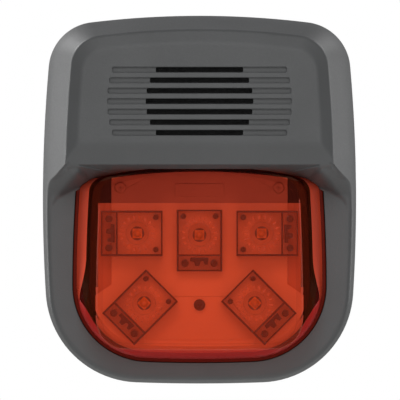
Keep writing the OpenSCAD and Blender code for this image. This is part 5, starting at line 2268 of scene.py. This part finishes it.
@dataclass
class Studio:
    """Plain pale floor, soft lamps and the camera, in metres."""

    distance: float = 2.0
    outline_y: float = -0.015
    view_width: float = 0.14784
    centre: tuple[float, float] = (0.000185, -0.00009)
    floor_z: float = -1.0
    floor_half: float = 6.0
    floor_color: Rgb = srgb(236, 236, 234)
    floor_glow: float = 0.65
    fill: float = 0.45
    gloss: float = 0.15

    def camera(self) -> None:
        """Makes the camera, straight in front."""
        data = bpy.data.cameras.new("camera")
        data.sensor_width = 36.0
        data.lens = 36.0 * self.distance / self.view_width
        data.clip_start, data.clip_end = 0.05, 20
        camera = linked("camera", data)
        camera.location = (self.centre[0], self.outline_y - self.distance, self.centre[1])
        camera.rotation_euler = (pi / 2, 0, 0)
        bpy.context.scene.camera = camera

    def lamp(self, lamp: Lamp) -> None:
        """Makes one soft lamp, turned towards the object.

        Args:
            lamp: The lamp.
        """
        data = bpy.data.lights.new(lamp.name, "AREA")
        data.shape = "RECTANGLE"
        data.size, data.size_y = lamp.size
        way = -Vector(lamp.place)
        data.energy = lamp.level * pi ** 2 * way.length_squared
        piece = linked(lamp.name, data)
        piece.location = lamp.place
        piece.rotation_euler = way.to_track_quat("-Z", "Y").to_euler()

    def world(self) -> None:
        """White to the camera and through clear plastic, softer in gloss, and a dim fill."""
        world = bpy.data.worlds.new("studio")
        bpy.context.scene.world = world
        world.use_nodes = True
        tree = world.node_tree
        tree.nodes.clear()
        path = tree.nodes.new("ShaderNodeLightPath")
        background = tree.nodes.new("ShaderNodeBackground")
        background.inputs["Color"].default_value = (1, 1, 1, 1)
        level: Socket | float = self.fill
        seen = (("Is Glossy Ray", self.gloss), ("Is Transmission Ray", 1.0), ("Is Camera Ray", 1.0))
        for ray, strength in seen:
            mix = tree.nodes.new("ShaderNodeMix")
            tree.links.new(path.outputs[ray], mix.inputs["Factor"])
            if isinstance(level, float):
                mix.inputs[2].default_value = level
            else:
                tree.links.new(level, mix.inputs[2])
            mix.inputs[3].default_value = strength
            level = mix.outputs[0]
        tree.links.new(level, background.inputs["Strength"])
        output = tree.nodes.new("ShaderNodeOutputWorld")
        tree.links.new(background.outputs[0], output.inputs["Surface"])

    def floor(self) -> None:
        """Makes the floor, well below the object."""
        mesh = bpy.data.meshes.new("floor")
        s = self.floor_half
        mesh.from_pydata([(x, y, self.floor_z) for x, y in rectangle(-s, -s, s, s)], [], [(0, 1, 2, 3)])
        n = Nodes("floor_paint")
        color = n.shade(self.floor_color, n.noise(3, 2), 0.02)
        paint = n.add("BsdfPrincipled", in_Roughness=0.8, in_Base_Color=color)
        glow = n.add("Emission", in_Color=(1.0, 1.0, 1.0), in_Strength=1.0)
        seen = n.product(n.add("LightPath").outputs["Is Camera Ray"], self.floor_glow)
        mesh.materials.append(n.finish(n.blend(seen, paint, glow)))
        floor = linked("floor", mesh)

    def build(self) -> None:
        """Sets up the whole studio."""
        bpy.context.scene.view_settings.view_transform = "Standard"
        self.camera()
        self.world()
        self.floor()
        for lamp in LAMPS:
            self.lamp(lamp)


# ------------ assembly


def main() -> None:
    """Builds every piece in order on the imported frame."""
    logging.basicConfig(level=logging.INFO, format="%(name)s: %(message)s")
    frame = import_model()
    # the clear optics lie behind the lens's two skins, so light crosses more than eight clear faces
    bpy.context.scene.cycles.transparent_max_bounces = 32
    Studio().build()
    FrontHousing().build()
    HousingInside().build()
    WovenMesh().build()
    StrobeLens().build()
    for place in OPTIC_PLACES:
        StrobeOptic(place).build()
    OpticPetals().build()
    ReflectorTrim().build()
    for screws in SCREW_SETS:
        screws.build()
    for dressing in DRESSINGS:
        dress(frame["nodes"][dressing.node], dressing)
        log.info("node %s: %s", dressing.node, dressing.shade.value.name)


if __name__ == "__main__":
    main()
